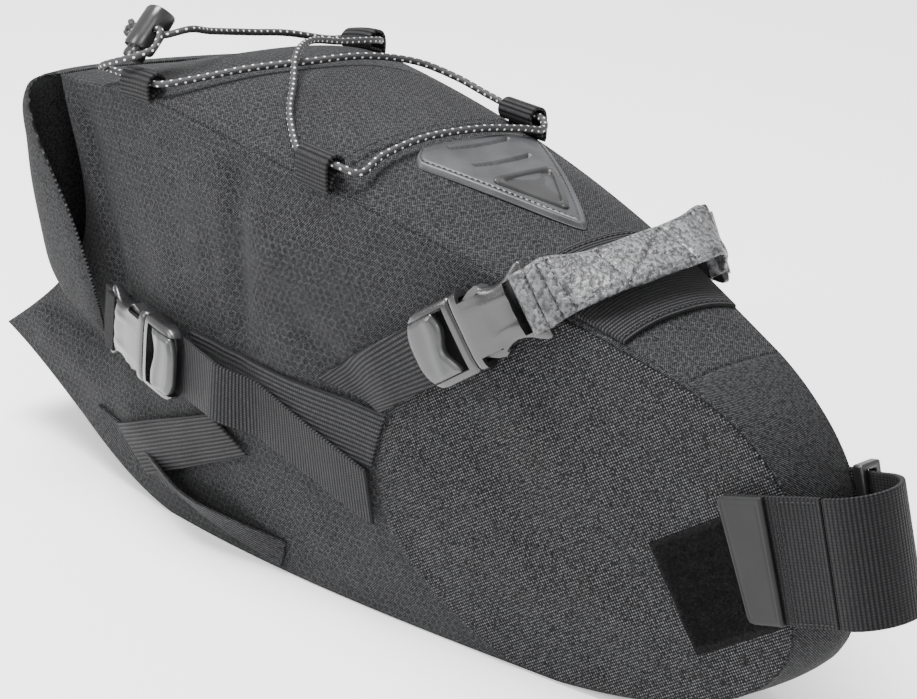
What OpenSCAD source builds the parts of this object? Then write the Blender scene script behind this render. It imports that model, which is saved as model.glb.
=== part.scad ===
// Seat pack: a roll-top saddle bag that hangs from the saddle rails and the seatpost.
// Frame: +X towards the nose (seatpost end), +Y rider's left, +Z up.
// The origin is on the flat base that the bag lies on.

/* [Bag shell] */
// Distance from the origin forward to the front of the nose
nose_x = 223; // [200:1:250]
// Distance from the origin back to the mouth edge of the top panel
mouth_x = 182; // [165:1:205]
// Distance from the origin back to the tip of the tail
tail_x = 245; // [230:1:260]
// Height of the top seam at the mouth
rear_h = 188; // [165:1:215]
// Height of the top seam where the nose begins to round
shoulder_h = 143; // [125:1:165]
// Height of the tail tip above the base
tail_h = 45; // [35:1:60]
// Width of the bag between its top seams at the rear
rear_w = 122; // [100:1:145]
// Width of the nose strip
nose_w = 32; // [26:1:40]
// Thickness of the padded wall fabric
wall = 2; // [1.5:0.1:3]
// Outward puff of the side panels
side_puff = 5.5; // [0:0.5:12]
// Inward pinch of the sides at the rolled end
tail_pinch = 9; // [0:0.5:12]
// Height of the crown of the top panel, as a share of its half width
crown_share = 0.25; // [0.1:0.01:0.35]
// Clearance left between sewn pieces
seam_gap = 0.25; // [0.1:0.05:0.3]

/* [Roll closure] */
// Height of the lower edge of the rolled band
roll_low_h = 81; // [75:1:90]
// Thickness of the rolled band
roll_t = 9; // [6:0.5:12]
// Thickness of the side ears
ear_t = 3.2; // [2.4:0.2:4]

/* [Webbing] */
// Width of the narrow webbing
web_w = 25; // [20:1:30]
// Thickness of the webbing
web_t = 1.5; // [1.2:0.1:2]
// Width of the wide webbing
wide_w = 50; // [40:1:55]
// Clearance under the webbing
web_gap = 0.3; // [0.2:0.1:0.6]

/* [Buckles] */
// Overall width of the buckle
buckle_w = 32; // [30:0.5:36]
// Thickness of the buckle
buckle_t = 10; // [9:0.5:12]
// Length of the socket from its mouth to its bar
socket_len = 36; // [32:1:42]
// Length of the plug from the mouth to its tail
plug_len = 26; // [24:1:32]
// Clearance between plug and socket
buckle_gap = 0.3; // [0.2:0.05:0.5]
// Radius of the lever's trunnions
trunnion_r = 1.4; // [1.2:0.1:1.8]

/* [Cord] */
// Diameter of the elastic cord
cord_d = 3; // [2.5:0.1:4]
// Length of the cord lock barrel
lock_len = 20; // [16:1:26]
// Diameter of the cord lock barrel
lock_d = 13; // [11:0.5:16]
// Travel of the cord lock plunger
lock_travel = 3; // [2:0.5:4]

/* [Seatpost strap] */
// Diameter of the seatpost that the strap holds
post_d = 31.6; // [27.2:0.1:33]
// Distance from the nose to the axis of the seatpost
post_reach = 19.5; // [19:0.5:26]
// Forward tilt of the strap
post_tilt = 15; // [8:1:16]
// Thickness of the strap with its rubberised face
strap_t = 2.4; // [2:0.1:3.5]

/* [Hidden] */
$fn = 48;

// ---- profile of the bag, seen from the side ----
function bez(p, t) = pow(1 - t, 3) * p[0] + 3 * pow(1 - t, 2) * t * p[1]
    + 3 * (1 - t) * t * t * p[2] + t * t * t * p[3];
shoulder_x = nose_x - 52;
toe_x = nose_x - 110;
heel_x = -mouth_x + 72;
nose_top_h = shoulder_h - 53;
nose_low_h = 58;
nose_curve = [[shoulder_x, shoulder_h], [shoulder_x + 27, shoulder_h - 8],
    [nose_x, nose_top_h + 28], [nose_x, nose_top_h]];
chin_curve = [[nose_x, nose_low_h], [nose_x, 32], [nose_x - 33, 6], [toe_x, 0]];
tail_curve = [[heel_x, 0], [heel_x - 40, 4], [-tail_x + 45, tail_h - 12], [-tail_x, tail_h]];

function clamp01(a) = min(1, max(0, a));
function lerp(a, b, t) = a + (b - a) * t;

// Half width of the bag at the seams
function half_w(x) = nose_w / 2 + (rear_w - nose_w) / 2
    * sin(90 * pow(clamp01((nose_x - x) / (nose_x + 100)), 1.2));
// Height of the top seam, as a smooth fall towards the nose
function top_h(x) = rear_h - (rear_h - shoulder_h)
    * pow((x + mouth_x) / (shoulder_x + mouth_x), 2);
// How far the side stands out from the middle of the bag at a point of its outline
function side_y(x, z) = let (
        v = clamp01(z / top_h(x)),
        puff = side_puff * pow(sin(180 * clamp01((nose_x - x) / (nose_x + 262))), 2),
        pinch = tail_pinch * clamp01((-90 - x) / 90))
    half_w(x) + (puff - pinch) * 4 * v * (1 - v);
// Rise of the crowned panel over its seams
// The crown is flat at the mouth, full over the middle and low at the nose
function share(x, z) = crown_share * clamp01((x + mouth_x) / 110)
    * lerp(1, 0.4, clamp01((x - shoulder_x + 60) / 60)) * clamp01(z / nose_low_h);
function dome(u) = 1 - pow(min(1, abs(u)), 2.4);
function top_line(t) = let (x = lerp(-mouth_x, shoulder_x, t)) [x, top_h(x)];
function top_z(x, y) = top_h(x) + share(x, top_h(x)) * half_w(x) * dome(y / half_w(x));

// ---- meshes ----
// Closed sheet between two grids of points, outer and inner
module sheet(outer, inner) {
    n = len(outer);
    m = len(outer[0]);
    function at(i, j, side) = side * n * m + i * m + j;
    points = concat([for (row = outer) for (p = row) p], [for (row = inner) for (p = row) p]);
    skins = [for (i = [0:n - 2]) for (j = [0:m - 2])
        each [[at(i, j, 0), at(i + 1, j + 1, 0), at(i, j + 1, 0)],
            [at(i, j, 0), at(i + 1, j, 0), at(i + 1, j + 1, 0)],
            [at(i, j, 1), at(i, j + 1, 1), at(i + 1, j + 1, 1)],
            [at(i, j, 1), at(i + 1, j + 1, 1), at(i + 1, j, 1)]]];
    ends = [for (i = [0:n - 2])
        each [[at(i, 0, 0), at(i + 1, 0, 1), at(i + 1, 0, 0)],
            [at(i, 0, 0), at(i, 0, 1), at(i + 1, 0, 1)],
            [at(i, m - 1, 0), at(i + 1, m - 1, 0), at(i + 1, m - 1, 1)],
            [at(i, m - 1, 0), at(i + 1, m - 1, 1), at(i, m - 1, 1)]]];
    sides = [for (j = [0:m - 2])
        each [[at(0, j, 0), at(0, j + 1, 0), at(0, j + 1, 1)],
            [at(0, j, 0), at(0, j + 1, 1), at(0, j, 1)],
            [at(n - 1, j, 0), at(n - 1, j + 1, 1), at(n - 1, j + 1, 0)],
            [at(n - 1, j, 0), at(n - 1, j, 1), at(n - 1, j + 1, 1)]]];
    polyhedron(points, concat(skins, ends, sides), convexity = 6);
}

// Left copy of a right-hand piece
module left() {
    mirror([0, 1, 0]) children();
}

// ---- shell panels ----
side_steps = 28;
side_rows = 8;
function seam_top(f) = f < 0.75 ? top_line(f / 0.75) : bez(nose_curve, (f - 0.75) / 0.25);
function seam_low(f) = f < 0.3 ? bez(tail_curve, 1 - f / 0.3)
    : f < 0.75 ? [lerp(heel_x, toe_x, (f - 0.3) / 0.45), 0]
    : bez(chin_curve, 1 - (f - 0.75) / 0.25);
// The rear edge of the side is drawn forward under the rolled band
rear_tuck = 30;
function side_xz(f, v) = lerp(seam_top(f), seam_low(f), v)
    + [rear_tuck * sin(180 * pow(v, 1.6)) * pow(clamp01(1 - f / 0.2), 2), 0];

module side_panel() {
    function row(f, inset) = [for (j = [0:side_rows]) let (p = side_xz(f, j / side_rows))
        [p[0], -(side_y(p[0], p[1]) - inset), p[1]]];
    sheet([for (i = [0:side_steps]) row(i / side_steps, 0)],
        [for (i = [0:side_steps]) row(i / side_steps, wall)]);
}

module side_panel_right() { color("dimgray") side_panel(); }
module side_panel_left() { color("dimgray") left() side_panel(); }

// Strip sewn between the two sides along a line of the outline, a list of [x, z]
strip_rows = 14;
module strip(line) {
    n = len(line);
    function tangent(i) = let (d = line[min(i + 1, n - 1)] - line[max(i - 1, 0)]) d / norm(d);
    function row(i, depth) = let (
            p = line[i],
            t = tangent(i),
            w = side_y(p[0], p[1]) - wall - seam_gap)
        [for (j = [0:strip_rows]) let (
                u = 2 * j / strip_rows - 1,
                h = share(p[0], p[1]) * w * dome(u),
                rise = p[0] < shoulder_x && p[1] > nose_low_h ? [0, 1] : [-t[1], t[0]])
            [p[0] + rise[0] * h + t[1] * depth, -u * w, p[1] + rise[1] * h - t[0] * depth]];
    sheet([for (i = [0:n - 1]) row(i, 0)], [for (i = [0:n - 1]) row(i, wall)]);
}

module top_panel() {
    color("gray") strip([for (i = [0:20]) top_line(i / 20 * 0.998)]);
}

module front_panel() {
    color("gray") strip(concat(
        [for (i = [0:9]) bez(nose_curve, i / 9)],
        [for (i = [0:8]) bez(chin_curve, i / 8 * 0.99)]));
}

// The base carries a stiff sheet on its inside
module bottom_panel() {
    color("dimgray") strip([for (i = [0:14]) [lerp(toe_x, heel_x, i / 14), 0]]);
}

module tail_panel() {
    color("dimgray") strip(concat(
        [for (i = [0:8]) bez(tail_curve, 0.01 + i / 8 * 0.95)],
        [for (i = [0:6]) side_xz(0, lerp(0.985, 0.76, i / 6))]));
}

stiffener_t = 1.6;
module base_stiffener() {
    margin = 8;
    line = [for (i = [0:12]) lerp(toe_x - margin, heel_x + margin, i / 12)];
    function row(x, z) = [for (j = [0:4]) [x, (1 - j / 2) * (half_w(x) - margin), z]];
    color("black") sheet([for (x = line) row(x, wall + seam_gap)],
        [for (x = line) row(x, wall + seam_gap + stiffener_t)]);
}

// ---- pieces laid on the side panels ----
// A band on the side: corners a, b at its start and c, d at its end, as [x, z].
// lift is its distance from the panel and thick its thickness.
module side_band(a, b, c, d, lift, thick, steps = 10) {
    function row(i, off) = [for (j = [0:4]) let (
            p = lerp(lerp(a, c, i / steps), lerp(b, d, i / steps), j / 4))
        [p[0], -(side_y(p[0], p[1]) + off), p[1]]];
    sheet([for (i = [0:steps]) row(i, lift + thick)], [for (i = [0:steps]) row(i, lift)]);
}

// Nose patch of heavy fabric over the front of the side, with a curved rear edge
patch_t = 0.8;
patch_lift = 0.2;
patch_steps = 14;
function patch_edge(v) = 0.566 - 0.13 * v + 0.272 * pow(v, 4);
module nose_patch() {
    function row(i, off) = [for (j = [0:8]) let (
            v = lerp(0.015, 0.985, j / 8),
            p = side_xz(lerp(patch_edge(v), 0.985, i / patch_steps), v))
        [p[0], -(side_y(p[0], p[1]) + off), p[1]]];
    sheet([for (i = [0:patch_steps]) row(i, patch_lift + patch_t)],
        [for (i = [0:patch_steps]) row(i, patch_lift)]);
}

module nose_patch_right() { color("darkslategray") nose_patch(); }
module nose_patch_left() { color("darkslategray") left() nose_patch(); }

// Soft half of the touch fastener, on the right side of the nose
fastener_t = 1.2;
fastener_lift = patch_lift + patch_t + 0.2;
module loop_patch() {
    color("black") side_band([nose_x - 65, 75], [nose_x - 42, 35], [nose_x - 25, 101], [nose_x - 3, 60],
        fastener_lift, fastener_t, 6);
}

// Wings folded up from the base, and the webbing sewn to them
wing_t = 1.6;
module wing() {
    side_band([-mouth_x + 16, 32], [-mouth_x + 22, 20], [-30, 15], [-34, 2], web_gap, wing_t, 12);
}
module wing_webbing() {
    side_band([-146, 31], [-122, 15], [-70, 62], [-46, 51], web_gap + wing_t + web_gap, web_t);
}
module upper_webbing() {
    side_band([-66, 93], [-66, 93 - web_w], [30, 92], [23, 92 - web_w], web_gap, web_t, 12);
}

module wing_right() { color("dimgray") wing(); }
module wing_left() { color("dimgray") left() wing(); }
module wing_webbing_right() { color("slategray") wing_webbing(); }
module wing_webbing_left() { color("slategray") left() wing_webbing(); }
module upper_webbing_right() { color("slategray") upper_webbing(); }
module upper_webbing_left() { color("slategray") left() upper_webbing(); }

// ---- side release buckles ----
// Each has its own frame: X from the socket to the plug, Z away from the bag,
// and the origin in the mouth of the socket.
rail_w = 2.9;
half_slot = buckle_w / 2 - rail_w;
mouth_half = buckle_w / 2 - 2;
cavity_h = 5.4;
bar_x = -socket_len + 2.5;
bar_t = 4;
module socket() {
    difference() {
        translate([0, 0, -buckle_t / 2]) linear_extrude(buckle_t)
            polygon([[0, -buckle_w / 2], [0, buckle_w / 2], [-4, buckle_w / 2],
                [-20, buckle_w / 2 - 2], [-socket_len + 9, buckle_w / 2 - 2.2],
                [-socket_len + 2, buckle_w / 2], [-socket_len - 1, buckle_w / 2 - 1.2],
                [-socket_len + 0.5, half_slot], [-socket_len + 0.5, -half_slot],
                [-socket_len - 1, -buckle_w / 2 + 1.2], [-socket_len + 2, -buckle_w / 2],
                [-socket_len + 9, -buckle_w / 2 + 2.2], [-20, -buckle_w / 2 + 2], [-4, -buckle_w / 2]]);
        translate([-18.5, -mouth_half, -cavity_h / 2]) cube([19, 2 * mouth_half, cavity_h]);
        for (s = [-1, 1])
            translate([-15.5, s * buckle_w / 2 - 4, -cavity_h / 2]) cube([11.5, 8, cavity_h]);
        translate([bar_x + bar_t / 2, -half_slot, -buckle_t]) cube([8, 2 * half_slot, 2 * buckle_t]);
        for (s = [0, 1]) mirror([0, 0, s])
            translate([-socket_len - 2, -half_slot, bar_t / 2]) cube([9, 2 * half_slot, buckle_t]);
    }
}

// Webbing folded round the bar of a socket
fold_t = 1.8;
module bar_fold() {
    rotate([90, 0, 0]) linear_extrude(web_w, center = true) translate([bar_x, 0]) difference() {
        square([bar_t + 2 * (fold_t + buckle_gap), bar_t + 2 * (fold_t + buckle_gap)], center = true);
        square([bar_t + 2 * buckle_gap, bar_t + 2 * buckle_gap], center = true);
    }
}

plug_t = buckle_t - 1;
wall_x = 4;
channel_z = -2.3;
pivot_x = 10;
pivot_z = 1.8;
lever_half = half_slot - buckle_gap - 0.1;
module plug() {
    difference() {
        translate([0, 0, -plug_t / 2]) linear_extrude(plug_t)
            polygon([[buckle_gap, -buckle_w / 2], [buckle_gap, buckle_w / 2],
                [plug_len - 6, buckle_w / 2], [plug_len - 1, half_slot + 0.6],
                [plug_len - 1, -half_slot - 0.6], [plug_len - 6, -buckle_w / 2]]);
        translate([wall_x, -half_slot, -plug_t]) cube([plug_len, 2 * half_slot, 2 * plug_t]);
        translate([-1, -half_slot, -plug_t]) cube([wall_x + 2, 2 * half_slot, plug_t + channel_z]);
        translate([pivot_x, 0, pivot_z]) rotate([90, 0, 0])
            cylinder(r = trunnion_r + 0.1, h = buckle_w + 2, center = true);
    }
    translate([13, -half_slot - 0.5, channel_z]) cube([3, 2 * half_slot + 1, 1.3]);
    translate([-16, -2.5, -2]) cube([17, 5, 4]);
}

module lever() {
    translate([0, 0, pivot_z - 1]) linear_extrude(plug_t / 2 - pivot_z + 1.8)
        polygon([[pivot_x - 2.5, -lever_half], [pivot_x - 2.5, lever_half],
            [plug_len - 4, lever_half], [plug_len + 1, lever_half - 5],
            [plug_len + 1, 5 - lever_half], [plug_len - 4, -lever_half]]);
    translate([pivot_x, 0, pivot_z]) rotate([90, 0, 0])
        cylinder(r = trunnion_r, h = 2 * (buckle_w / 2 - 1), center = true);
}

// One sprung arm of the plug; its thumb pad stands in the side window of the socket
prong_root_y = 8.8;
module prong() {
    translate([0, 0, -2.2]) linear_extrude(4.4)
        polygon([[-0.1, prong_root_y - 1.8], [-0.1, prong_root_y + 1.8], [-6, mouth_half - 1.8],
            [-10, mouth_half], [-14, mouth_half + 0.8], [-17, mouth_half - 1],
            [-17.2, mouth_half - 2.5], [-13, mouth_half - 2.2], [-8, mouth_half - 4.4],
            [-3, prong_root_y - 1.6]]);
}
module prong_a() { prong(); }
module prong_b() { mirror([0, 1, 0]) prong(); }

// Where the right-hand buckles sit: place of the mouth and turn of the frame
saddle_at = [79, -52, 142];
saddle_turn = [-86, 34, -163];
saddle_left_at = [83, -54, 144];
roll_at = [-106, -71.5, 81.5];
roll_turn = [86, 1, -10];
module at_saddle(p = saddle_at) { translate(p) rotate(saddle_turn) children(); }
module at_roll() { translate(roll_at) rotate(roll_turn) children(); }

module saddle_socket_right() { color("black") at_saddle() socket(); }
module saddle_socket_left() { color("black") left() at_saddle(saddle_left_at) socket(); }
module saddle_plug_right() { color("black") at_saddle() plug(); }
module saddle_plug_left() { color("black") left() at_saddle(saddle_left_at) plug(); }
module saddle_lever_right() { color("dimgray") at_saddle() lever(); }
module saddle_lever_left() { color("dimgray") left() at_saddle(saddle_left_at) lever(); }
module saddle_prong_right_a() { color("black") at_saddle() prong_a(); }
module saddle_prong_right_b() { color("black") at_saddle() prong_b(); }
module saddle_prong_left_a() { color("black") left() at_saddle(saddle_left_at) prong_a(); }
module saddle_prong_left_b() { color("black") left() at_saddle(saddle_left_at) prong_b(); }
module roll_socket_right() { color("black") at_roll() socket(); }
module roll_socket_left() { color("black") left() at_roll() socket(); }
module roll_plug_right() { color("black") at_roll() plug(); }
module roll_plug_left() { color("black") left() at_roll() plug(); }
module roll_lever_right() { color("dimgray") at_roll() lever(); }
module roll_lever_left() { color("dimgray") left() at_roll() lever(); }
module roll_prong_right_a() { color("black") at_roll() prong_a(); }
module roll_prong_right_b() { color("black") at_roll() prong_b(); }
module roll_prong_left_a() { color("black") left() at_roll() prong_a(); }
module roll_prong_left_b() { color("black") left() at_roll() prong_b(); }

// A point of a buckle's frame, carried into the bag's frame
function turned(v, r) = let (
        a = [v[0], v[1] * cos(r[0]) - v[2] * sin(r[0]), v[1] * sin(r[0]) + v[2] * cos(r[0])],
        b = [a[0] * cos(r[1]) + a[2] * sin(r[1]), a[1], a[2] * cos(r[1]) - a[0] * sin(r[1])])
    [b[0] * cos(r[2]) - b[1] * sin(r[2]), b[0] * sin(r[2]) + b[1] * cos(r[2]), b[2]];

// Webbing that runs straight under the plug and its travel, then lies down on the side.
// reach gives how far its two edges run; end_lift is its distance from the side at its end.
strap_z = channel_z - web_gap - web_t;
plug_travel = 24;
module plug_webbing(place, turn, reach, end_lift, steps = 14) {
    free = plug_len + plug_travel;
    function point(t, j, off) = let (
            x = 5 + (lerp(reach[0], reach[1], j) - 5) * t,
            w = place + turned([x, web_w * (0.5 - j), strap_z + off], turn),
            s = clamp01((x - free) / 30),
            ease = s * s * (3 - 2 * s))
        [w[0], lerp(w[1], -(side_y(w[0], w[2]) + end_lift + off), ease), w[2]];
    function rows(off) = [for (i = [0:steps]) [for (j = [0:4]) point(i / steps, j / 4, off)]];
    sheet(rows(web_t), rows(0));
}
module saddle_webbing_right() {
    color("slategray") plug_webbing(saddle_at, saddle_turn, [66, 97], web_gap);
}
module saddle_webbing_left() {
    color("slategray") left() plug_webbing(saddle_left_at, saddle_turn, [66, 97], web_gap);
}
// The lower webbing leaves the plug straight, then runs down the side to the nose patch
module lower_webbing() {
    free = plug_len + plug_travel;
    steps = 18;
    ends = [[23, 66], [26, 66 - web_w + 2]];
    over = web_gap + web_t + web_gap;
    function point(t, j, off) = let (
            x = lerp(5, free, min(1, t * 3)),
            w = roll_at + turned([x, web_w * (0.5 - j), strap_z + off], roll_turn),
            s = clamp01((t * 3 - 1) / 2),
            p = lerp([w[0], w[2]], lerp(ends[0], ends[1], j), s),
            ease = clamp01(s * 4) * clamp01(s * 4) * (3 - 2 * clamp01(s * 4)))
        [p[0], lerp(w[1], -(side_y(p[0], p[1]) + over + off), ease), p[1]];
    function rows(off) = [for (i = [0:steps]) [for (j = [0:4]) point(i / steps, j / 4, off)]];
    sheet(rows(web_t), rows(0));
}
module lower_webbing_right() { color("slategray") lower_webbing(); }
module lower_webbing_left() { color("slategray") left() lower_webbing(); }

// ---- roll closure ----
ear_gap = 0.6;
module ear() {
    a = [-mouth_x - 21, rear_h - 13];
    b = [-mouth_x - 24, roll_low_h + 2];
    side_band(a, b, [-157, 98], [-161, 68], ear_gap, ear_t, 8);
}
module roll_closure() {
    half = side_y(-mouth_x - 20, rear_h / 2) + ear_gap + 1;
    x0 = -mouth_x;
    color("gray") {
        rotate([90, 0, 0]) linear_extrude(2 * half, center = true)
            polygon([[x0 - 0.8, rear_h + 3], [x0 - 15, rear_h - 3], [x0 - 27, rear_h - 21],
                [x0 - 23 - roll_t, rear_h - 52], [x0 - 23 - roll_t, roll_low_h + 18],
                [x0 - 27, roll_low_h], [x0 - 21, roll_low_h + 2], [x0 - 21.5, roll_low_h + 28],
                [x0 - 21, rear_h - 25], [x0 - 12, rear_h - 9], [x0 - 0.6, rear_h - 0.5]]);
        ear();
        left() ear();
    }
}

// Webbing stubs sewn to the ears carry the sockets
module roll_stub() {
    at_roll() {
        bar_fold();
        translate([bar_x - bar_t / 2 - fold_t - 8, -web_w / 2, -0.9]) cube([8.5, web_w, fold_t]);
    }
}
module roll_stub_right() { color("slategray") roll_stub(); }
module roll_stub_left() { color("slategray") left() roll_stub(); }

// ---- pieces on the top panel ----
badge_t = 2.2;
badge_rear_x = 7;
badge_front_x = 85;
badge_half = 31;
badge_lift = 0.3;
module badge() {
    steps = 12;
    function half(s) = badge_half * sqrt(max(0.01, 1 - pow(s, 1.6)));
    function row(i, off) = let (s = i / steps, x = lerp(badge_rear_x, badge_front_x, s))
        [for (j = [0:8]) let (y = half(s) * (1 - j / 4)) [x, y, top_z(x, y) + off]];
    color("silver") sheet([for (i = [0:steps]) row(i, badge_lift + badge_t)],
        [for (i = [0:steps]) row(i, badge_lift)]);
}

// Plain raised triangle with a sunken field
emblem_x = 57;
emblem_len = 32;
emblem_half = 14;
module badge_emblem() {
    slope = atan((top_z(emblem_x - 12, 0) - top_z(emblem_x + 24, 0)) / 36);
    color("black") translate([emblem_x - 10, 0, top_z(emblem_x - 10, 0) + badge_lift + badge_t + 0.9])
        rotate([0, slope, 0]) difference() {
            linear_extrude(2) polygon([[0, -emblem_half], [0, emblem_half], [emblem_len, 1.5],
                [emblem_len, -1.5]]);
            translate([3, 0, 1]) linear_extrude(2) polygon([[0, -emblem_half + 5], [0, emblem_half - 5],
                [emblem_len - 11, 0]]);
        }
}

cross_x = 117;
module cross_webbing() {
    function row(x, off) = [for (j = [0:12]) let (w = half_w(x) - 1, y = w * (1 - j / 6))
        [x, y, top_z(x, y) + off]];
    xs = [for (i = [0:6]) cross_x + wide_w * (i / 6 - 0.5)];
    color("dimgray") sheet([for (x = xs) row(x, web_gap + web_t)], [for (x = xs) row(x, web_gap)]);
}

// Padded strap over the saddle rails, folded round the bars of both sockets
pad_t = 3;
module saddle_strap() {
    function bar_end(p) = p + turned([bar_x - bar_t / 2 - 1.6, 0, 0], saddle_turn);
    r = bar_end(saddle_at);
    q = bar_end(saddle_left_at);
    // middle line from the right socket over the top to the left one
    line = [r, [cross_x - 4, -36, 168], [cross_x + 1, -24, 170.5], [cross_x + 3, -10, 171.5],
        [cross_x + 3.5, 4, 172.5], [cross_x + 3.5, 18, 173], [cross_x + 2.5, 30, 173.5],
        [cross_x - 2, 40, 171], [q[0], -q[1], q[2]]];
    n = len(line);
    wide = turned([0, 1, 0], saddle_turn);
    wide_left = [wide[0], -wide[1], wide[2]];
    flat_dir = [0.95, 0.02, -0.3];
    function across(i) = let (t = i / (n - 1),
            d = t < 0.5 ? lerp(wide, flat_dir, clamp01(t * 4)) : lerp(flat_dir, wide_left, clamp01(t * 4 - 3)))
        d / norm(d);
    function along(i) = let (d = line[min(i + 1, n - 1)] - line[max(i - 1, 0)]) d / norm(d);
    function up(i) = let (c = cross(across(i), along(i))) c / norm(c);
    function row(i, off) = [for (j = [0:4]) line[i] + across(i) * web_w * (j / 4 - 0.5) + up(i) * off];
    color("silver") {
        sheet([for (i = [0:n - 1]) row(i, pad_t / 2)], [for (i = [0:n - 1]) row(i, -pad_t / 2)]);
        at_saddle() bar_fold();
        left() at_saddle(saddle_left_at) bar_fold();
    }
}

// ---- bungee ----
loop_x = [-125, -12];
loop_len = 20;
loop_r = 4.4;
function loop_y(x) = half_w(x) - 3;
function loop_z(x) = max([for (d = [-12:6:12]) top_z(x + d, loop_y(x) - loop_r / 2)]) + loop_r - 0.3;
module cord_loops() {
    color("dimgray") for (x = loop_x) for (s = [-1, 1])
        translate([x, s * loop_y(x), loop_z(x)]) rotate([0, 90, 0]) difference() {
            cylinder(r = loop_r, h = loop_len, center = true);
            cylinder(r = loop_r - web_t, h = loop_len + 1, center = true);
        }
}

// Middle line of the cord: [x, y, height above the top panel]
lock_at = [-139, -44, 207];
lock_turn = [-42, 0, 0];
cord_pitch = 3.5;
cord_hole_z = 0;
function lock_pt(p) = lock_at + turned(p, lock_turn);
function over_top(p) = [p[0], p[1], top_z(p[0], p[1]) + p[2]];
function in_loop(x, s) = [for (k = [-0.6, 0, 0.6]) [x + k * loop_len, s * loop_y(x), loop_z(x) + 0.7]];
function reverse(a) = [for (i = [len(a) - 1:-1:0]) a[i]];
cord_route = concat(
    [lock_pt([-11, -cord_pitch / 2, cord_hole_z]), lock_pt([0, -cord_pitch / 2, cord_hole_z]),
        lock_pt([9, -cord_pitch / 2, cord_hole_z])],
    [[-125, -52, 205.5], [-126, -59, 203.5], [-132, -64, 201.5], [-141, -65.5, 199],
        [-148, -63, 196.5], [-149.5, -58.5, 194.8], [-145, -57.5, 193.8]],
    in_loop(loop_x[0], -1),
    [for (p = [[-103, -46, 5], [-92, -26, 4], [-82, -4, 3.4], [-76, 20, 4], [-70, 42, 5], [-58, 54, 6],
        [-42, 58, 6], [-28, 58, 6]]) over_top(p)],
    in_loop(loop_x[1], 1),
    [for (p = [[8, 46, 7], [10, 32, 5.4], [9, 10, 5.2], [6, -14, 5.2], [5, -34, 5.4], [7, -47, 7]]) over_top(p)],
    reverse(in_loop(loop_x[1], -1)),
    [for (p = [[-30, -51, 5], [-48, -40, 4], [-64, -26, 4], [-80, -12, 8.5], [-94, 6, 8.5], [-102, 28, 5],
        [-106, 48, 6]]) over_top(p)],
    reverse(in_loop(loop_x[0], 1)),
    [[-140, 50, 194], [-142, 30, 199], [-140, 8, 202], [-134, -16, 206], [-127, -32, 210]],
    [lock_pt([9, cord_pitch / 2, cord_hole_z]), lock_pt([0, cord_pitch / 2, cord_hole_z]),
        lock_pt([-11, cord_pitch / 2, cord_hole_z])]);

// Tube swept along points, with sides round it
module tube(points, r, sides = 8) {
    n = len(points);
    function dir(i) = let (d = points[min(i + 1, n - 1)] - points[max(i - 1, 0)]) d / norm(d);
    // each ring starts from a side direction carried on from the ring before
    function carry(i, s) = let (d = dir(i), v = s - d * (s * d)) v / norm(v);
    first = carry(0, [0, 0, 1]);
    sides_at = [for (i = 0, s = first; i < n; i = i + 1, s = i < n ? carry(i, s) : s) s];
    pts = [for (i = [0:n - 1]) for (k = [0:sides - 1]) let (
            a = 360 * k / sides, s = sides_at[i], t = cross(dir(i), s))
        points[i] + r * (cos(a) * s + sin(a) * t)];
    walls = [for (i = [0:n - 2]) for (k = [0:sides - 1]) let (
            a = i * sides + k, b = i * sides + (k + 1) % sides)
        each [[a, a + sides, b], [b, a + sides, b + sides]]];
    polyhedron(pts, concat(walls, [[for (k = [0:sides - 1]) k]],
        [[for (k = [sides - 1:-1:0]) (n - 1) * sides + k]]), convexity = 10);
}
module bungee_cord() {
    color("white") {
        tube(cord_route, cord_d / 2);
        // the knot that joins both ends
        tube([for (x = [-9.6, -11.5, -13.5, -16]) lock_pt([x, 0, cord_hole_z])], 3.4);
    }
}

// ---- cord lock ----
lock_bore = lock_d / 2 - 1.8;
plunger_r = lock_bore - 0.1;
cord_slot = cord_pitch + cord_d + 0.6;
module cord_slot_cut(extra = 0) {
    translate([0, 0, cord_hole_z + extra / 2])
        cube([2 * lock_d, cord_slot, cord_d + 0.6 + extra], center = true);
}
module cord_lock_barrel() {
    color("black") translate(lock_at) rotate(lock_turn) difference() {
        translate([0, 0, -lock_len / 2]) cylinder(r = lock_d / 2, h = lock_len);
        translate([0, 0, -lock_len / 2 - 1]) cylinder(r = lock_bore, h = lock_len - 1);
        cord_slot_cut();
    }
}
module cord_lock_plunger() {
    color("dimgray") translate(lock_at) rotate(lock_turn) difference() {
        translate([0, 0, -lock_len / 2 - 4.5]) cylinder(r = plunger_r, h = lock_len - 2.2);
        translate([0, 0, -lock_travel]) cord_slot_cut(lock_travel);
    }
}
spring_wire = 0.5;
module cord_lock_spring() {
    z0 = lock_len / 2 - 6.4;
    color("silver") translate(lock_at) rotate(lock_turn)
        translate([0, 0, z0]) for (k = [0:2]) translate([0, 0, 0.8 + k * 1.5])
            rotate_extrude() translate([plunger_r - 1.4, 0]) circle(r = spring_wire);
}

// ---- seatpost strap ----
post_x = nose_x + post_reach;
post_z = 94;
post_r = post_d / 2;
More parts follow.
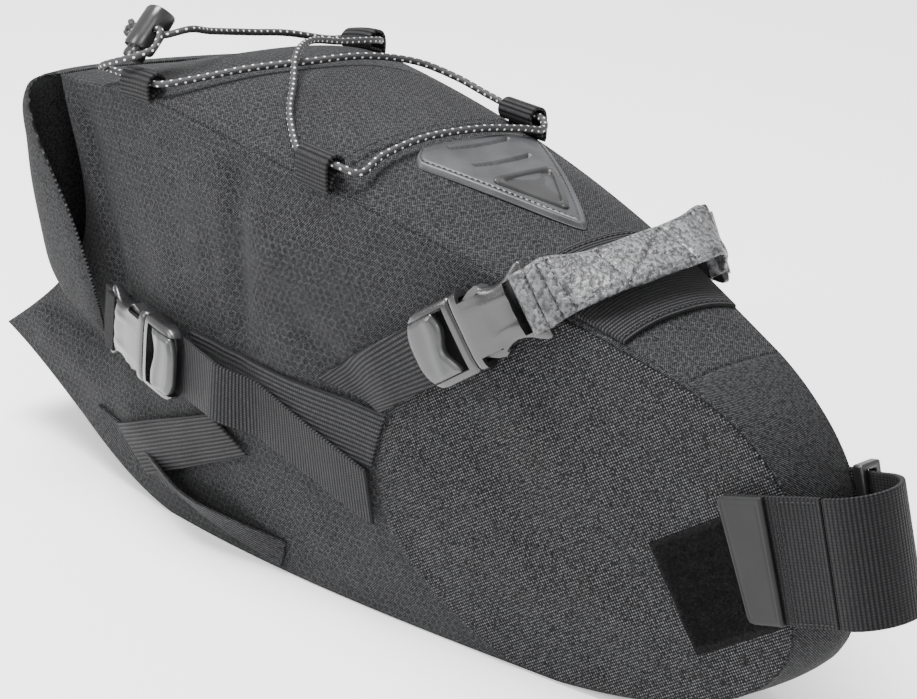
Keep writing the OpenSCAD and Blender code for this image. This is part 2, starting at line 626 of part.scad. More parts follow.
// A point of the strap: lx along the strap from the axis of the post, lz up the strap
function strap_xz(lx, lz) = [post_x + lx * cos(post_tilt) - lz * sin(post_tilt),
    post_z + lx * sin(post_tilt) + lz * cos(post_tilt)];
module strap_leg(from, to, lift, thick, drop = 0, steps = 8) {
    // distance from the middle of the bag: along the side, then in to the post
    function off_mid(p, lx) = let (
            t = clamp01((lx + post_reach + 2) / post_reach),
            side = side_y(min(p[0], nose_x), p[1]) + lift)
        lerp(side, post_r + drop, t * t * (3 - 2 * t));
    function row(i, off) = [for (j = [0:4]) let (
            lx = lerp(to, from, i / steps),
            p = strap_xz(lx, wide_w * (0.5 - j / 4)))
        [p[0], -(off_mid(p, lx) + off), p[1]]];
    sheet([for (i = [0:steps]) row(i, thick)], [for (i = [0:steps]) row(i, 0)]);
}
flap_lift = fastener_lift + fastener_t + 0.3;
anchor_lx = -34;
module seatpost_strap() {
    color("dimgray") {
        translate([post_x, 0, post_z]) rotate([0, -post_tilt, 0]) difference() {
            cylinder(r = post_r + strap_t, h = wide_w, center = true);
            cylinder(r = post_r, h = wide_w + 1, center = true);
            translate([-2 * post_r, -2 * post_r, -wide_w]) cube([2 * post_r, 4 * post_r, 2 * wide_w]);
        }
        left() strap_leg(2, anchor_lx, patch_lift + patch_t + 0.3, strap_t - 0.3, 0.12);
    }
}
module strap_flap() { color("dimgray") strap_leg(-0.6, -44, flap_lift, strap_t, 0.1, 10); }
tab_t = 2;
module strap_pull_tab() {
    color("gray") strap_leg(-24, -47, flap_lift + strap_t + 0.2, tab_t, strap_t + 0.2);
}

// Rectangular ring that the strap runs through on the left of the nose
ring_bar = 2.6;
module strap_ring() {
    lx = -12;
    inner = wide_w + 1.2;
    mid_y = post_r + strap_t / 2 + 0.8;
    slot = strap_t + 2.6;
    color("black") translate([post_x, mid_y, post_z]) rotate([0, -post_tilt, 0]) translate([lx, 0, 0])
        difference() {
            cube([5, slot + 2 * ring_bar, inner + 2 * ring_bar], center = true);
            cube([6, slot, inner], center = true);
        }
}

side_panel_right();
side_panel_left();
top_panel();
front_panel();
bottom_panel();
tail_panel();
nose_patch_right();
nose_patch_left();
base_stiffener();
badge();
badge_emblem();
cross_webbing();
saddle_strap();
saddle_socket_right();
saddle_socket_left();
saddle_webbing_right();
saddle_webbing_left();
saddle_plug_right();
saddle_plug_left();
saddle_lever_right();
saddle_lever_left();
saddle_prong_right_a();
saddle_prong_right_b();
saddle_prong_left_a();
saddle_prong_left_b();
roll_closure();
roll_stub_right();
roll_stub_left();
roll_socket_right();
roll_socket_left();
roll_plug_right();
roll_plug_left();
roll_lever_right();
roll_lever_left();
roll_prong_right_a();
roll_prong_right_b();
roll_prong_left_a();
roll_prong_left_b();
upper_webbing_right();
upper_webbing_left();
lower_webbing_right();
lower_webbing_left();
wing_webbing_right();
wing_webbing_left();
wing_right();
wing_left();
cord_loops();
bungee_cord();
cord_lock_barrel();
cord_lock_plunger();
cord_lock_spring();
loop_patch();
seatpost_strap();
strap_ring();
strap_flap();
strap_pull_tab();
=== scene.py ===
"""Roll-top saddle bag: the looks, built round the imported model.

Lengths are in millimetres until put() makes a mesh.
"""
import math

import bmesh
import bpy
import numpy as np
from mathutils import Matrix, Vector


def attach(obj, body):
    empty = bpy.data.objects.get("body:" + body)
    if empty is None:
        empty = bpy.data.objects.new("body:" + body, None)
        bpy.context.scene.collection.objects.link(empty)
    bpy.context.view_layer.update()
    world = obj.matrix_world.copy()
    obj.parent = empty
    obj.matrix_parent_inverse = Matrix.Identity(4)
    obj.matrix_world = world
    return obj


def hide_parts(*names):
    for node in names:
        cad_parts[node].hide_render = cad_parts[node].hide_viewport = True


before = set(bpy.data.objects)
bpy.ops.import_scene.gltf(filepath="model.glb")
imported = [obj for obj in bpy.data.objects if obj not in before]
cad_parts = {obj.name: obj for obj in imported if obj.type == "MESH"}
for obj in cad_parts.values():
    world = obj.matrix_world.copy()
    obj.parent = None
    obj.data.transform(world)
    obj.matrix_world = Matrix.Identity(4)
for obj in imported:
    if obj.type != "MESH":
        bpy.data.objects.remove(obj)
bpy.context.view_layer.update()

# ---------------------------------------------------------------------------
# Camera, daylight and table. The bag lies on its flat base on a pale table
# top and is seen from the right rear, a little from above.
# ---------------------------------------------------------------------------
camera = bpy.data.objects.new("camera", bpy.data.cameras.new("camera"))
bpy.context.scene.collection.objects.link(camera)
camera.data.lens = 144.3
camera.data.sensor_width = 36.0
camera.data.clip_end = 20
cam_right, cam_up, cam_back = (0.637, 0.770, 0.0), (-0.297, 0.246, 0.922), (0.711, -0.588, 0.386)
cam_turn = Matrix((cam_right, cam_up, cam_back)).transposed().to_4x4()
camera.matrix_world = Matrix.Translation(Vector((0.0097, 0, 0.0988)) + 1.5 * Vector(cam_back)) @ cam_turn
bpy.context.scene.camera = camera


def soft_light(name, place, aim, size, power):
    """A square area light of the given side, at place, turned to face aim."""
    lamp = bpy.data.lights.new(name, "AREA")
    lamp.size, lamp.energy = size, power
    o = bpy.data.objects.new(name, lamp)
    aimed = (Vector(place) - Vector(aim)).to_track_quat("Z", "Y").to_matrix().to_4x4()
    o.matrix_world = Matrix.Translation(place) @ aimed
    bpy.context.scene.collection.objects.link(o)


soft_light("light_above", (-0.3, -0.2, 1.6), (0, 0, 0.1), 0.8, 70)
soft_light("light_front", (1.4, -1.0, 0.9), (0, 0, 0.1), 0.7, 15)
soft_light("light_left", (-0.9, -1.5, 0.9), (0, 0, 0.1), 0.7, 20)
world = bpy.data.worlds.new("room")
world.use_nodes = True
world.node_tree.nodes["Background"].inputs["Color"].default_value = (1, 1, 1, 1)
world.node_tree.nodes["Background"].inputs["Strength"].default_value = 0.95
bpy.context.scene.world = world


def put(name, verts, faces, uv=None, smooth=True):
    """A mesh object from vertices in mm and faces; uv gives one (u, v) in metres for each vertex."""
    mesh = bpy.data.meshes.new(name)
    if not isinstance(faces, list):
        faces = [tuple(f) for f in np.asarray(faces).tolist()]
    mesh.from_pydata((np.asarray(verts, float) * 0.001).tolist(), [], faces)
    if uv is not None:
        index = np.zeros(len(mesh.loops), np.int32)
        mesh.loops.foreach_get("vertex_index", index)
        layer = mesh.uv_layers.new(name="cloth")
        layer.data.foreach_set("uv", (np.asarray(uv, np.float32) * 0.001)[index].ravel())
    mesh.polygons.foreach_set("use_smooth", np.full(len(mesh.polygons), smooth))
    mesh.update()
    o = bpy.data.objects.new(name, mesh)
    bpy.context.scene.collection.objects.link(o)
    return o


class Finish:
    """A node material built step by step; each call adds a node and returns its first output."""

    def __init__(self, name, color, rough=0.7, **more):
        self.mat = bpy.data.materials.new(name)
        self.mat.use_nodes = True
        self.tree = self.mat.node_tree
        self.surface = self.tree.nodes["Principled BSDF"]
        self.set(Base_Color=(*color, 1), Roughness=rough, **more)

    def set(self, **values):
        for key, value in values.items():
            self.link(self.surface.inputs[key.replace("_", " ")], value)

    def link(self, socket, value):
        if isinstance(value, bpy.types.NodeSocket):
            self.tree.links.new(value, socket)
        else:
            socket.default_value = value

    def add(self, kind, *values, **props):
        node = self.tree.nodes.new(kind)
        for key, value in props.items():
            setattr(node, key, value)
        for socket, value in zip(node.inputs, values):
            if value is not None:
                self.link(socket, value)
        return node.outputs[0]

    def calc(self, op, *values):
        return self.add("ShaderNodeMath", *values, operation=op)

    def vec(self, op, *values):
        node = self.tree.nodes.new("ShaderNodeVectorMath")
        node.operation = op
        for socket, value in zip(node.inputs, values):
            self.link(socket, value)
        return node.outputs["Value"] if op in ("DOT_PRODUCT", "LENGTH") else node.outputs["Vector"]

    def cloth(self, turn=0.0):
        """The piece's own UV, in metres, turned by an angle in degrees."""
        node = self.tree.nodes.new("ShaderNodeUVMap")
        node.uv_map = "cloth"
        if not turn:
            return node.outputs[0]
        return self.add("ShaderNodeVectorRotate", node.outputs[0], None, None, math.radians(turn),
                        rotation_type="Z_AXIS")

    def place(self):
        return self.tree.nodes.new("ShaderNodeTexCoord").outputs["Object"]

    def noise(self, at, scale, detail=3.0, rough=0.55):
        node = self.tree.nodes.new("ShaderNodeTexNoise")
        self.link(node.inputs["Vector"], at)
        node.inputs["Scale"].default_value = scale
        node.inputs["Detail"].default_value = detail
        node.inputs["Roughness"].default_value = rough
        return node.outputs["Fac"]

    def span(self, value, a, b, low=0.0, high=1.0):
        """The value carried from a..b to low..high, clamped, with soft ends."""
        return self.add("ShaderNodeMapRange", value, a, b, low, high, interpolation_type="SMOOTHSTEP")

    def mix(self, share, a, b):
        node = self.tree.nodes.new("ShaderNodeMix")
        node.data_type = "RGBA"
        for socket, value in ((node.inputs[0], share), (node.inputs[6], a), (node.inputs[7], b)):
            self.link(socket, (*value, 1) if isinstance(value, tuple) and len(value) == 3 else value)
        return node.outputs[2]

    def bump(self, height, depth, before=None, strength=1.0):
        """Bump of a height field from 0 to 1, depth in metres."""
        node = self.tree.nodes.new("ShaderNodeBump")
        node.inputs["Strength"].default_value = strength
        node.inputs["Distance"].default_value = depth
        self.link(node.inputs["Height"], height)
        if before is not None:
            self.link(node.inputs["Normal"], before)
        self.link(self.surface.inputs["Normal"], node.outputs[0])
        return node.outputs[0]


table_half, table_z = 6000, -0.6
table_corners = [(-1, -1), (1, -1), (1, 1), (-1, 1)]
floor = put("table_top", [(a * table_half, b * table_half, table_z) for a, b in table_corners],
            [(0, 1, 2, 3)])
paint = Finish("table_paint", (0.93, 0.93, 0.93), 0.8, Emission_Color=(1, 1, 1, 1), Emission_Strength=0.35)
paint.bump(paint.noise(paint.place(), 60), 0.0002)
floor.data.materials.append(paint.mat)

# ---------------------------------------------------------------------------
# Shell: side panels, crowned top panel, front, base and tail strips, cut from
# honeycomb ripstop and sewn edge to edge. Loaded, the sides puff out and the
# cloth falls in a few soft folds below the roll and behind the buckle.
# ---------------------------------------------------------------------------
nose_x, mouth_x, tail_x, rear_h, shoulder_h, tail_h = 223, 182, 245, 188, 143, 45
rear_w, nose_w, side_puff, tail_pinch, crown_share = 122, 32, 5.5, 9, 0.25
shoulder_x, toe_x, heel_x, nose_low_h, rear_tuck = nose_x - 52, nose_x - 110, -mouth_x + 72, 58, 36
nose_curve = np.array([[171, 143], [198, 135], [223, 118], [223, 90]], float)
chin_curve = np.array([[223, 58], [223, 32], [190, 6], [113, 0]], float)
tail_curve = np.array([[heel_x, 0], [heel_x - 40, 4], [-tail_x + 45, tail_h - 12], [-tail_x, tail_h]], float)


def lerp(a, b, t):
    return a + (b - a) * t


def ramp(a, low=0.0, high=1.0):
    """0 below low, 1 above high, an S curve between."""
    t = np.clip((a - low) / (high - low), 0, 1)
    return t * t * (3 - 2 * t)


def bezier(p, t):
    """Cubic Bezier of four points at parameters t."""
    t = np.asarray(t, float)[..., None]
    return (1 - t) ** 3 * p[0] + 3 * (1 - t) ** 2 * t * p[1] + 3 * (1 - t) * t * t * p[2] + t ** 3 * p[3]


def half_w(x):
    """Half width at the seams: a quarter sine of the distance from the nose, raised to 1.2."""
    run = np.clip((nose_x - x) / (nose_x + 100), 0, 1)
    return nose_w / 2 + (rear_w - nose_w) / 2 * np.sin(np.pi / 2 * run ** 1.2)


def top_h(x):
    """Height of the top seam: a parabola falling from the mouth to the shoulder."""
    return rear_h - (rear_h - shoulder_h) * ((x + mouth_x) / (shoulder_x + mouth_x)) ** 2


def side_y(x, z):
    """Distance of the side from the middle: half width plus a puff, less a pinch at the rear, as 4v(1-v)."""
    v = np.clip(z / top_h(x), 0, 1)
    puff = side_puff * np.sin(np.pi * np.clip((nose_x - x) / (nose_x + 262), 0, 1)) ** 2
    pinch = tail_pinch * np.clip((-90 - x) / 90, 0, 1)
    return half_w(x) + (puff - pinch) * 4 * v * (1 - v)


def share(x, z):
    """Height of the crown over its seams, as a share of the half width."""
    return (crown_share * np.clip((x + mouth_x) / 110, 0, 1)
            * lerp(1, 0.4, np.clip((x - shoulder_x + 60) / 60, 0, 1)) * np.clip(z / nose_low_h, 0, 1))


def dome(u):
    return 1 - np.minimum(1, np.abs(u)) ** 2.4


def top_z(x, y):
    """Height of the top panel: the seam plus the crown."""
    return top_h(x) + share(x, top_h(x)) * half_w(x) * dome(y / half_w(x))


def slump(p):
    """The loaded bag leans left: its top sinks on that side, and its mouth falls behind the loops."""
    x, y, z = p[..., 0], p[..., 1], p[..., 2]
    w = half_w(x)
    lean = np.clip((y + w) / (2 * w), 0, 1.15) ** 1.3
    fall = 5 * lean * (1 - ramp(x, -80, 130)) + (8 + 12 * lean) * ramp(-x, 112, 190)
    return np.stack([x, y, z - fall * ramp(z, 60, 170)], -1)


def seam_top(f):
    """Upper seam of the side at a share f of its length, as (x, z)."""
    x = lerp(-mouth_x, shoulder_x, f / 0.75)
    line = np.stack([x, top_h(x)], -1)
    return np.where((f < 0.75)[..., None], line, bezier(nose_curve, (f - 0.75) / 0.25))


def seam_low(f):
    """Lower seam of the side: tail curve, flat base, chin curve."""
    base = np.stack([lerp(heel_x, toe_x, (f - 0.3) / 0.45), 0 * f], -1)
    out = np.where((f < 0.75)[..., None], base, bezier(chin_curve, 1 - (f - 0.75) / 0.25))
    return np.where((f < 0.3)[..., None], bezier(tail_curve, 1 - f / 0.3), out)


def side_xz(f, v):
    """Point of the side's outline, drawn forward under the rolled band at its rear."""
    p = lerp(seam_top(f), seam_low(f), v[..., None])
    tuck = rear_tuck * np.sin(np.pi * v ** 1.25) * np.clip(1 - f / 0.2, 0, 1) ** 2
    return p[..., 0] + tuck, p[..., 1]


def ridge(x, z, a, b, wide, high):
    """A soft fold along the line from a to b: a bell across it, fading past its ends."""
    a, b = np.array(a, float), np.array(b, float)
    d = b - a
    t = ((x - a[0]) * d[0] + (z - a[1]) * d[1]) / (d @ d)
    across = ((x - a[0]) * d[1] - (z - a[1]) * d[0]) / np.sqrt(d @ d)
    fade = np.exp(-np.clip(np.maximum(-t, t - 1), 0, None) ** 2 / 0.06)
    return high * np.exp(-(across / wide) ** 2) * fade


def folds(x, z):
    """Folds of the loaded side, outwards positive: valleys below the roll and bulges between the straps."""
    out = ridge(x, z, (-57, 172), (-53, 108), 7, -3.0) + ridge(x, z, (-74, 128), (-68, 100), 8, -1.6)
    out += ridge(x, z, (-125, 160), (-108, 90), 13, 1.4) + ridge(x, z, (-98, 168), (-88, 110), 9, -1.3)
    out += ridge(x, z, (-36, 138), (-20, 105), 13, 2.2) + ridge(x, z, (-30, 120), (20, 100), 10, -1.5)
    out += ridge(x, z, (-40, 150), (10, 118), 9, 1.5) + ridge(x, z, (60, 120), (95, 60), 16, -1.2)
    out += ridge(x, z, (100, 110), (150, 70), 12, 1.3) + ridge(x, z, (80, 40), (150, 40), 14, 1.2)
    out += ridge(x, z, (-225, 62), (-150, 60), 5, -3.0) + ridge(x, z, (-215, 48), (-120, 34), 9, 2.0)
    out += ridge(x, z, (-172, 175), (-150, 100), 7, -3.5)
    out += 0.5 * np.sin(x / 17 + z / 29) * np.sin(z / 13 - x / 41) + 0.25 * np.sin(x / 6.3 + z / 9)
    return out


def grid_faces(n, m, flip=False):
    """Quads of an n by m grid of vertices."""
    i, j = np.meshgrid(np.arange(n - 1), np.arange(m - 1), indexing="ij")
    a = (i * m + j).ravel()
    f = np.stack([a, a + 1, a + m + 1, a + m], -1)
    return f[:, ::-1] if flip else f


def cloth_uv(p):
    """Distances along and across a grid of points, as a pattern would be drawn on the flat cloth."""
    along = np.concatenate([np.zeros((1, p.shape[1])),
                            np.cumsum(np.linalg.norm(np.diff(p, axis=0), axis=2), 0)])
    across = np.concatenate([np.zeros((p.shape[0], 1)),
                             np.cumsum(np.linalg.norm(np.diff(p, axis=1), axis=2), 1)], 1)
    across -= across[:, across.shape[1] // 2][:, None]
    return np.stack([along.mean(1)[:, None] + 0 * along, across], -1)


def skin(name, p, finish, wall=1.6, flip=False, uv=None):
    """One layer of cloth from a grid of points, given its wall inwards by Solidify."""
    n, m = p.shape[:2]
    o = put(name, p.reshape(-1, 3), grid_faces(n, m, flip),
            (cloth_uv(p) if uv is None else uv).reshape(-1, 2))
    o.data.materials.append(finish.mat)
    if wall:
        mod = o.modifiers.new("wall", "SOLIDIFY")
        mod.thickness, mod.offset, mod.use_even_offset = wall * 0.001, -1, False
    return o


def hexagons(f, at, pitch):
    """0 in the middle of a honeycomb cell to 1 at its edge: two offset lattices, the nearer centre taken."""
    p = f.vec("ADD", f.vec("SCALE", at), (200, 173.205, 0))
    p.node.inputs[0].links[0].from_node.inputs["Scale"].default_value = 1 / pitch
    a = f.vec("SUBTRACT", f.vec("MODULO", p, (1, 1.7320508, 1)), (0.5, 0.8660254, 0))
    b = f.vec("SUBTRACT", f.vec("MODULO", f.vec("ADD", p, (0.5, 0.8660254, 0)), (1, 1.7320508, 1)),
              (0.5, 0.8660254, 0))
    near = f.calc("LESS_THAN", f.vec("DOT_PRODUCT", a, a), f.vec("DOT_PRODUCT", b, b))
    pick = f.tree.nodes.new("ShaderNodeMix")
    pick.data_type = "VECTOR"
    f.link(pick.inputs[0], near)
    f.link(pick.inputs[4], b)
    f.link(pick.inputs[5], a)
    c = f.vec("ABSOLUTE", pick.outputs[1])
    flat = f.vec("DOT_PRODUCT", c, (1, 0, 0))
    slant = f.vec("DOT_PRODUCT", c, (0.5, 0.8660254, 0))
    return f.calc("MULTIPLY", f.calc("MAXIMUM", flat, slant), 2.0)


def weave(f, at, pitch, twill=False):
    """Height of a weave from 0 to 1: a product of two sines, or one sine on the slant for twill."""
    split = f.tree.nodes.new("ShaderNodeSeparateXYZ")
    f.link(split.inputs[0], at)
    u = f.calc("MULTIPLY", split.outputs[0], 2 * math.pi / pitch)
    v = f.calc("MULTIPLY", split.outputs[1], 2 * math.pi / pitch)
    if twill:
        return f.calc("MULTIPLY_ADD", f.calc("SINE", f.calc("ADD", u, v)), 0.5, 0.5)
    return f.calc("MULTIPLY_ADD", f.calc("MULTIPLY", f.calc("SINE", u), f.calc("SINE", v)), 0.5, 0.5)


def shell_cloth(name, dark, light, cells, pitch=0.00075, twill=False, thread=0.00012, turn=0.0):
    """Matt polyester: a fine weave with honeycomb ripstop where cells is set; the paler raised threads and
    ripstop lines are a painted highlight.
    """
    f = Finish(name, dark, 0.75, Sheen_Weight=0.02, Sheen_Roughness=0.4, Specular_IOR_Level=0.12)
    at = f.cloth(turn)
    height = weave(f, at, pitch, twill)
    cloud = f.noise(f.place(), 26, 4)
    fine = f.noise(f.place(), 900, 2)
    base = f.mix(f.span(cloud, 0.3, 0.7), tuple(c * 0.75 for c in dark), tuple(c * 1.35 for c in dark))
    # painted highlight: the raised thread tops are made paler than the dark cloth
    painted_top_highlight = f.calc("MULTIPLY", f.span(height, 0.40, 0.95), f.span(fine, 0.30, 0.66))
    color = f.mix(f.calc("MULTIPLY", painted_top_highlight, 0.9), base, light)
    if cells:
        # painted highlight: the raised ripstop lines are made paler, broken by fine noise
        line = f.span(hexagons(f, at, cells), 0.80, 0.97)
        painted_line_highlight = f.calc("MULTIPLY", line, f.span(fine, 0.28, 0.62, 0.35, 1.0))
        color = f.mix(f.calc("MULTIPLY", painted_line_highlight, 0.55), color, tuple(c * 0.8 for c in light))
        f.bump(line, 0.00012, f.bump(height, thread))
    else:
        f.bump(height, thread)
    f.set(Base_Color=color)
    return f


def own(o, body, slot, *nodes):
    """Says which body a piece rides on and the nodes that it is shown for; the slot argument is not used."""
    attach(o, body)
    if nodes:
        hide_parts(*nodes)
    return o


ripstop = shell_cloth("honeycomb_ripstop", (0.0045, 0.0046, 0.005), (0.082, 0.083, 0.087), 0.0034, 0.0011,
                      thread=0.00025)
plain_cloth = shell_cloth("plain_polyester", (0.0045, 0.0046, 0.005), (0.08, 0.081, 0.085), 0, 0.0011, True,
                          0.0003)
side_f, side_v = np.meshgrid(np.linspace(0, 1, 200), np.linspace(0, 1, 90), indexing="ij")
side_px, side_pz = side_xz(side_f, side_v)
hem = np.clip(np.minimum(side_v, 1 - side_v) / 0.10, 0, 1)
hem = hem * np.clip(side_f / 0.05, 0, 1) * np.clip((1 - side_f) / 0.05, 0, 1)
for hand, s in (("right", -1), ("left", 1)):
    stand = side_y(side_px, side_pz) + folds(side_px, side_pz) * ramp(hem)
    grid = slump(np.stack([side_px, s * stand, side_pz], -1))
    uv = np.stack([side_px, side_pz], -1)
    panel = skin("side_cloth_" + hand, grid, ripstop, 1.6, flip=s > 0, uv=uv)
    own(panel, "root", "shell_fabric", "side_panel_" + hand)


def strip(line, rows=41):
    """Strip sewn between the sides along a line of (x, z): each row is bowed out by the crown."""
    t = np.gradient(line, axis=0)
    t /= np.linalg.norm(t, axis=1)[:, None]
    u = np.linspace(-1, 1, rows)
    w = side_y(line[:, 0], line[:, 1]) - 0.35
    h = (share(line[:, 0], line[:, 1]) * w)[:, None] * dome(u)
    over = (line[:, 0] < shoulder_x) & (line[:, 1] > nose_low_h)
    rise = np.where(over[:, None], [0, 1], np.stack([-t[:, 1], t[:, 0]], -1))
    wave = 0.35 * np.sin(line[:, :1] / 14 + 2.3 * u) * (1 - np.abs(u) ** 6)
    return np.stack([line[:, :1] + rise[:, :1] * (h + wave), -u * w[:, None],
                     line[:, 1:] + rise[:, 1:] * (h + wave)], -1)


top_run = lerp(-mouth_x, shoulder_x, np.linspace(0, 1, 150))
base_run = lerp(toe_x, heel_x, np.linspace(0, 1, 40))
tail_run = np.linspace(0.985, 0.76, 16)
strips = {
    "top": (np.stack([top_run, top_h(top_run)], -1), ripstop),
    "front": (np.concatenate([bezier(nose_curve, np.linspace(0, 1, 40)),
                              bezier(chin_curve, np.linspace(0, 1, 44))]), plain_cloth),
    "bottom": (np.stack([base_run, np.zeros(40)], -1), plain_cloth),
    "tail": (np.concatenate([bezier(tail_curve, np.linspace(0, 1, 40)),
                             np.stack(side_xz(0 * tail_run, tail_run), -1)]), ripstop)}
for name, (line, cloth) in strips.items():
    piece = skin(name + "_cloth", slump(strip(line)), cloth, 1.6)
    own(piece, "root", "shell_fabric", name + "_panel")

# ---------------------------------------------------------------------------
# Nose patches: heavy basket-weave polyester over the front of each side,
# sewn on with a double row along its curved rear edge.
# ---------------------------------------------------------------------------


def patch_edge(v):
    """Share of the side's length where the patch begins: straight, then swept forward at the base."""
    return 0.566 - 0.13 * v + 0.272 * v ** 4


def slab(name, outer, inner, finish, uv=None, bevel=0.0, smooth=True):
    """Closed solid between two grids of points, with its rim; bevel rounds the rim."""
    n, m = outer.shape[:2]
    k = n * m
    rim = np.concatenate([np.arange(m), np.arange(1, n) * m + m - 1, (n - 1) * m + np.arange(m - 2, -1, -1),
                          np.arange(n - 2, 0, -1) * m])
    nxt = np.roll(rim, -1)
    faces = np.concatenate([grid_faces(n, m), grid_faces(n, m, True) + k,
                            np.stack([rim, rim + k, nxt + k, nxt], -1)])
    flat = cloth_uv(outer) if uv is None else uv
    o = put(name, np.concatenate([outer.reshape(-1, 3), inner.reshape(-1, 3)]), faces,
            np.concatenate([flat.reshape(-1, 2)] * 2), smooth)
    volume = outer.reshape(-1, 3).mean(0) - inner.reshape(-1, 3).mean(0)
    d1, d2 = outer[-1, m // 2] - outer[0, m // 2], outer[n // 2, -1] - outer[n // 2, 0]
    if np.cross(d1, d2) @ volume > 0:
        o.data.flip_normals()
    o.data.materials.append(finish.mat)
    if bevel:
        mod = o.modifiers.new("edge", "BEVEL")
        mod.width, mod.segments = bevel * 0.001, 2
        mod.limit_method, mod.angle_limit = "ANGLE", math.radians(50)
    return o


def on_side(x, z, off, s=-1):
    """Points on the loaded side cloth, lifted off it by off."""
    return np.stack([x, s * (side_y(x, z) + folds(x, z) * 0.8 + off), z], -1)


thread_finish = Finish("sewing_thread", (0.014, 0.014, 0.015), 0.6)
thread_finish.bump(weave(thread_finish, thread_finish.place(), 0.0004), 0.00005)


def along(p, step):
    """Points spaced evenly by step along a polyline, with directions."""
    p = np.asarray(p, float)
    d = np.linalg.norm(np.diff(p, axis=0), axis=1)
    s = np.concatenate([[0], np.cumsum(d)])
    t = np.arange(step * 0.5, s[-1], step)
    q = np.stack([np.interp(t, s, p[:, k]) for k in range(3)], -1)
    a = np.stack([np.interp(t - 0.4, s, p[:, k]) for k in range(3)], -1)
    b = np.stack([np.interp(t + 0.4, s, p[:, k]) for k in range(3)], -1)
    return q, (b - a) / np.maximum(np.linalg.norm(b - a, axis=1), 1e-6)[:, None]


def stitches(name, lines, normals, pitch=2.8, length=2.0, r=0.28, body="root", finish=None, slot="webbing"):
    """Rows of thread: each stitch is a bead of three four-sided rings with pointed ends, sunk in cloth."""
    verts, faces, base = [], [], 0
    ring = np.array([[1, 0], [0, 1], [-1, 0], [0, -1]], float)
    for line, nrm in zip(lines, normals):
        q, d = along(line, pitch)
        n = np.broadcast_to(np.asarray(nrm, float), q.shape) if np.ndim(nrm) == 1 else nrm(q)
        n = n - (n * d).sum(1)[:, None] * d
        n /= np.linalg.norm(n, axis=1)[:, None]
        t = np.cross(d, n)
        parts = [q - d * length / 2 - n * r]
        for along_d, size, lift in ((-0.32, 0.8, 0.1), (0, 1, 0.45), (0.32, 0.8, 0.1)):
            parts += [q + d * length * along_d + n * r * lift + r * size * (c[0] * t + c[1] * n)
                      for c in ring]
        parts.append(q + d * length / 2 - n * r)
        v = np.stack(parts, 1)
        f = [[0, 1 + (k + 1) % 4, 1 + k] for k in range(4)] + [[13, 9 + k, 9 + (k + 1) % 4] for k in range(4)]
        f += [[1 + 4 * a + k, 1 + 4 * a + (k + 1) % 4, 5 + 4 * a + (k + 1) % 4]
              for a in range(2) for k in range(4)]
        f += [[1 + 4 * a + k, 5 + 4 * a + (k + 1) % 4, 5 + 4 * a + k] for a in range(2) for k in range(4)]
        f = (np.array(f)[None] + base + 14 * np.arange(len(q))[:, None, None]).reshape(-1, 3)
        verts.append(v.reshape(-1, 3))
        faces.append(f[:, ::-1])
        base += 14 * len(q)
    o = put(name, np.concatenate(verts), np.concatenate(faces))
    o.data.materials.append((finish or thread_finish).mat)
    return own(o, body, slot)


basket = shell_cloth("basket_weave", (0.0015, 0.0015, 0.002), (0.15, 0.15, 0.156), 0, 0.0016, thread=0.0005,
                     turn=12)
grid_i, grid_j = np.meshgrid(np.linspace(0, 1, 120), np.linspace(0.012, 0.988, 80), indexing="ij")
patch_x, patch_z = side_xz(lerp(patch_edge(grid_j), 0.987, grid_i), grid_j)
edge_v = np.linspace(0.02, 0.98, 120)
for hand, s in (("right", -1), ("left", 1)):
    lift = 0.9 * ramp(np.minimum(grid_i / 0.02, 1)) + 0.15
    puff = folds(patch_x, patch_z) * ramp(np.clip(np.minimum(grid_j, 1 - grid_j) / 0.10, 0, 1))
    puff = puff * np.clip((1 - grid_i) / 0.1, 0, 1)
    top = np.stack([patch_x, s * (side_y(patch_x, patch_z) + puff + lift), patch_z], -1)
    low = top - np.array([0, s * 0.8, 0])
    patch = slab("nose_patch_cloth_" + hand, top, low, basket, np.stack([patch_x, patch_z], -1))
    own(patch, "root", "patch_fabric", "nose_patch_" + hand)
    rows = []
    for inset in (0.008, 0.017):
        x, z = side_xz(patch_edge(edge_v) + inset, edge_v)
        rows.append(on_side(x, z, 1.1, s))
    corners = np.array([[31, 93], [62, 66], [43, 50], [33, 61], [31, 93]], float)
    cross = np.array([[34, 86], [52, 62]], float)
    for q in (corners, cross, np.array([[40, 84], [60, 69]], float)):
        t = np.linspace(0, len(q) - 1, 30 * (len(q) - 1))
        x, z = np.interp(t, np.arange(len(q)), q[:, 0]), np.interp(t, np.arange(len(q)), q[:, 1])
        rows.append(on_side(x, z, 1.1, s))
    stitches("nose_patch_stitching_" + hand, rows, [np.array([0, s, 0])] * len(rows), slot="patch_fabric")

# ---------------------------------------------------------------------------
# Base wings and webbing: wings of shell cloth folded up from the base, and
# 25 mm ribbed webbing sewn over them to the side and under the nose patch.
# ---------------------------------------------------------------------------
web_w, web_t, web_gap = 25, 1.5, 0.3


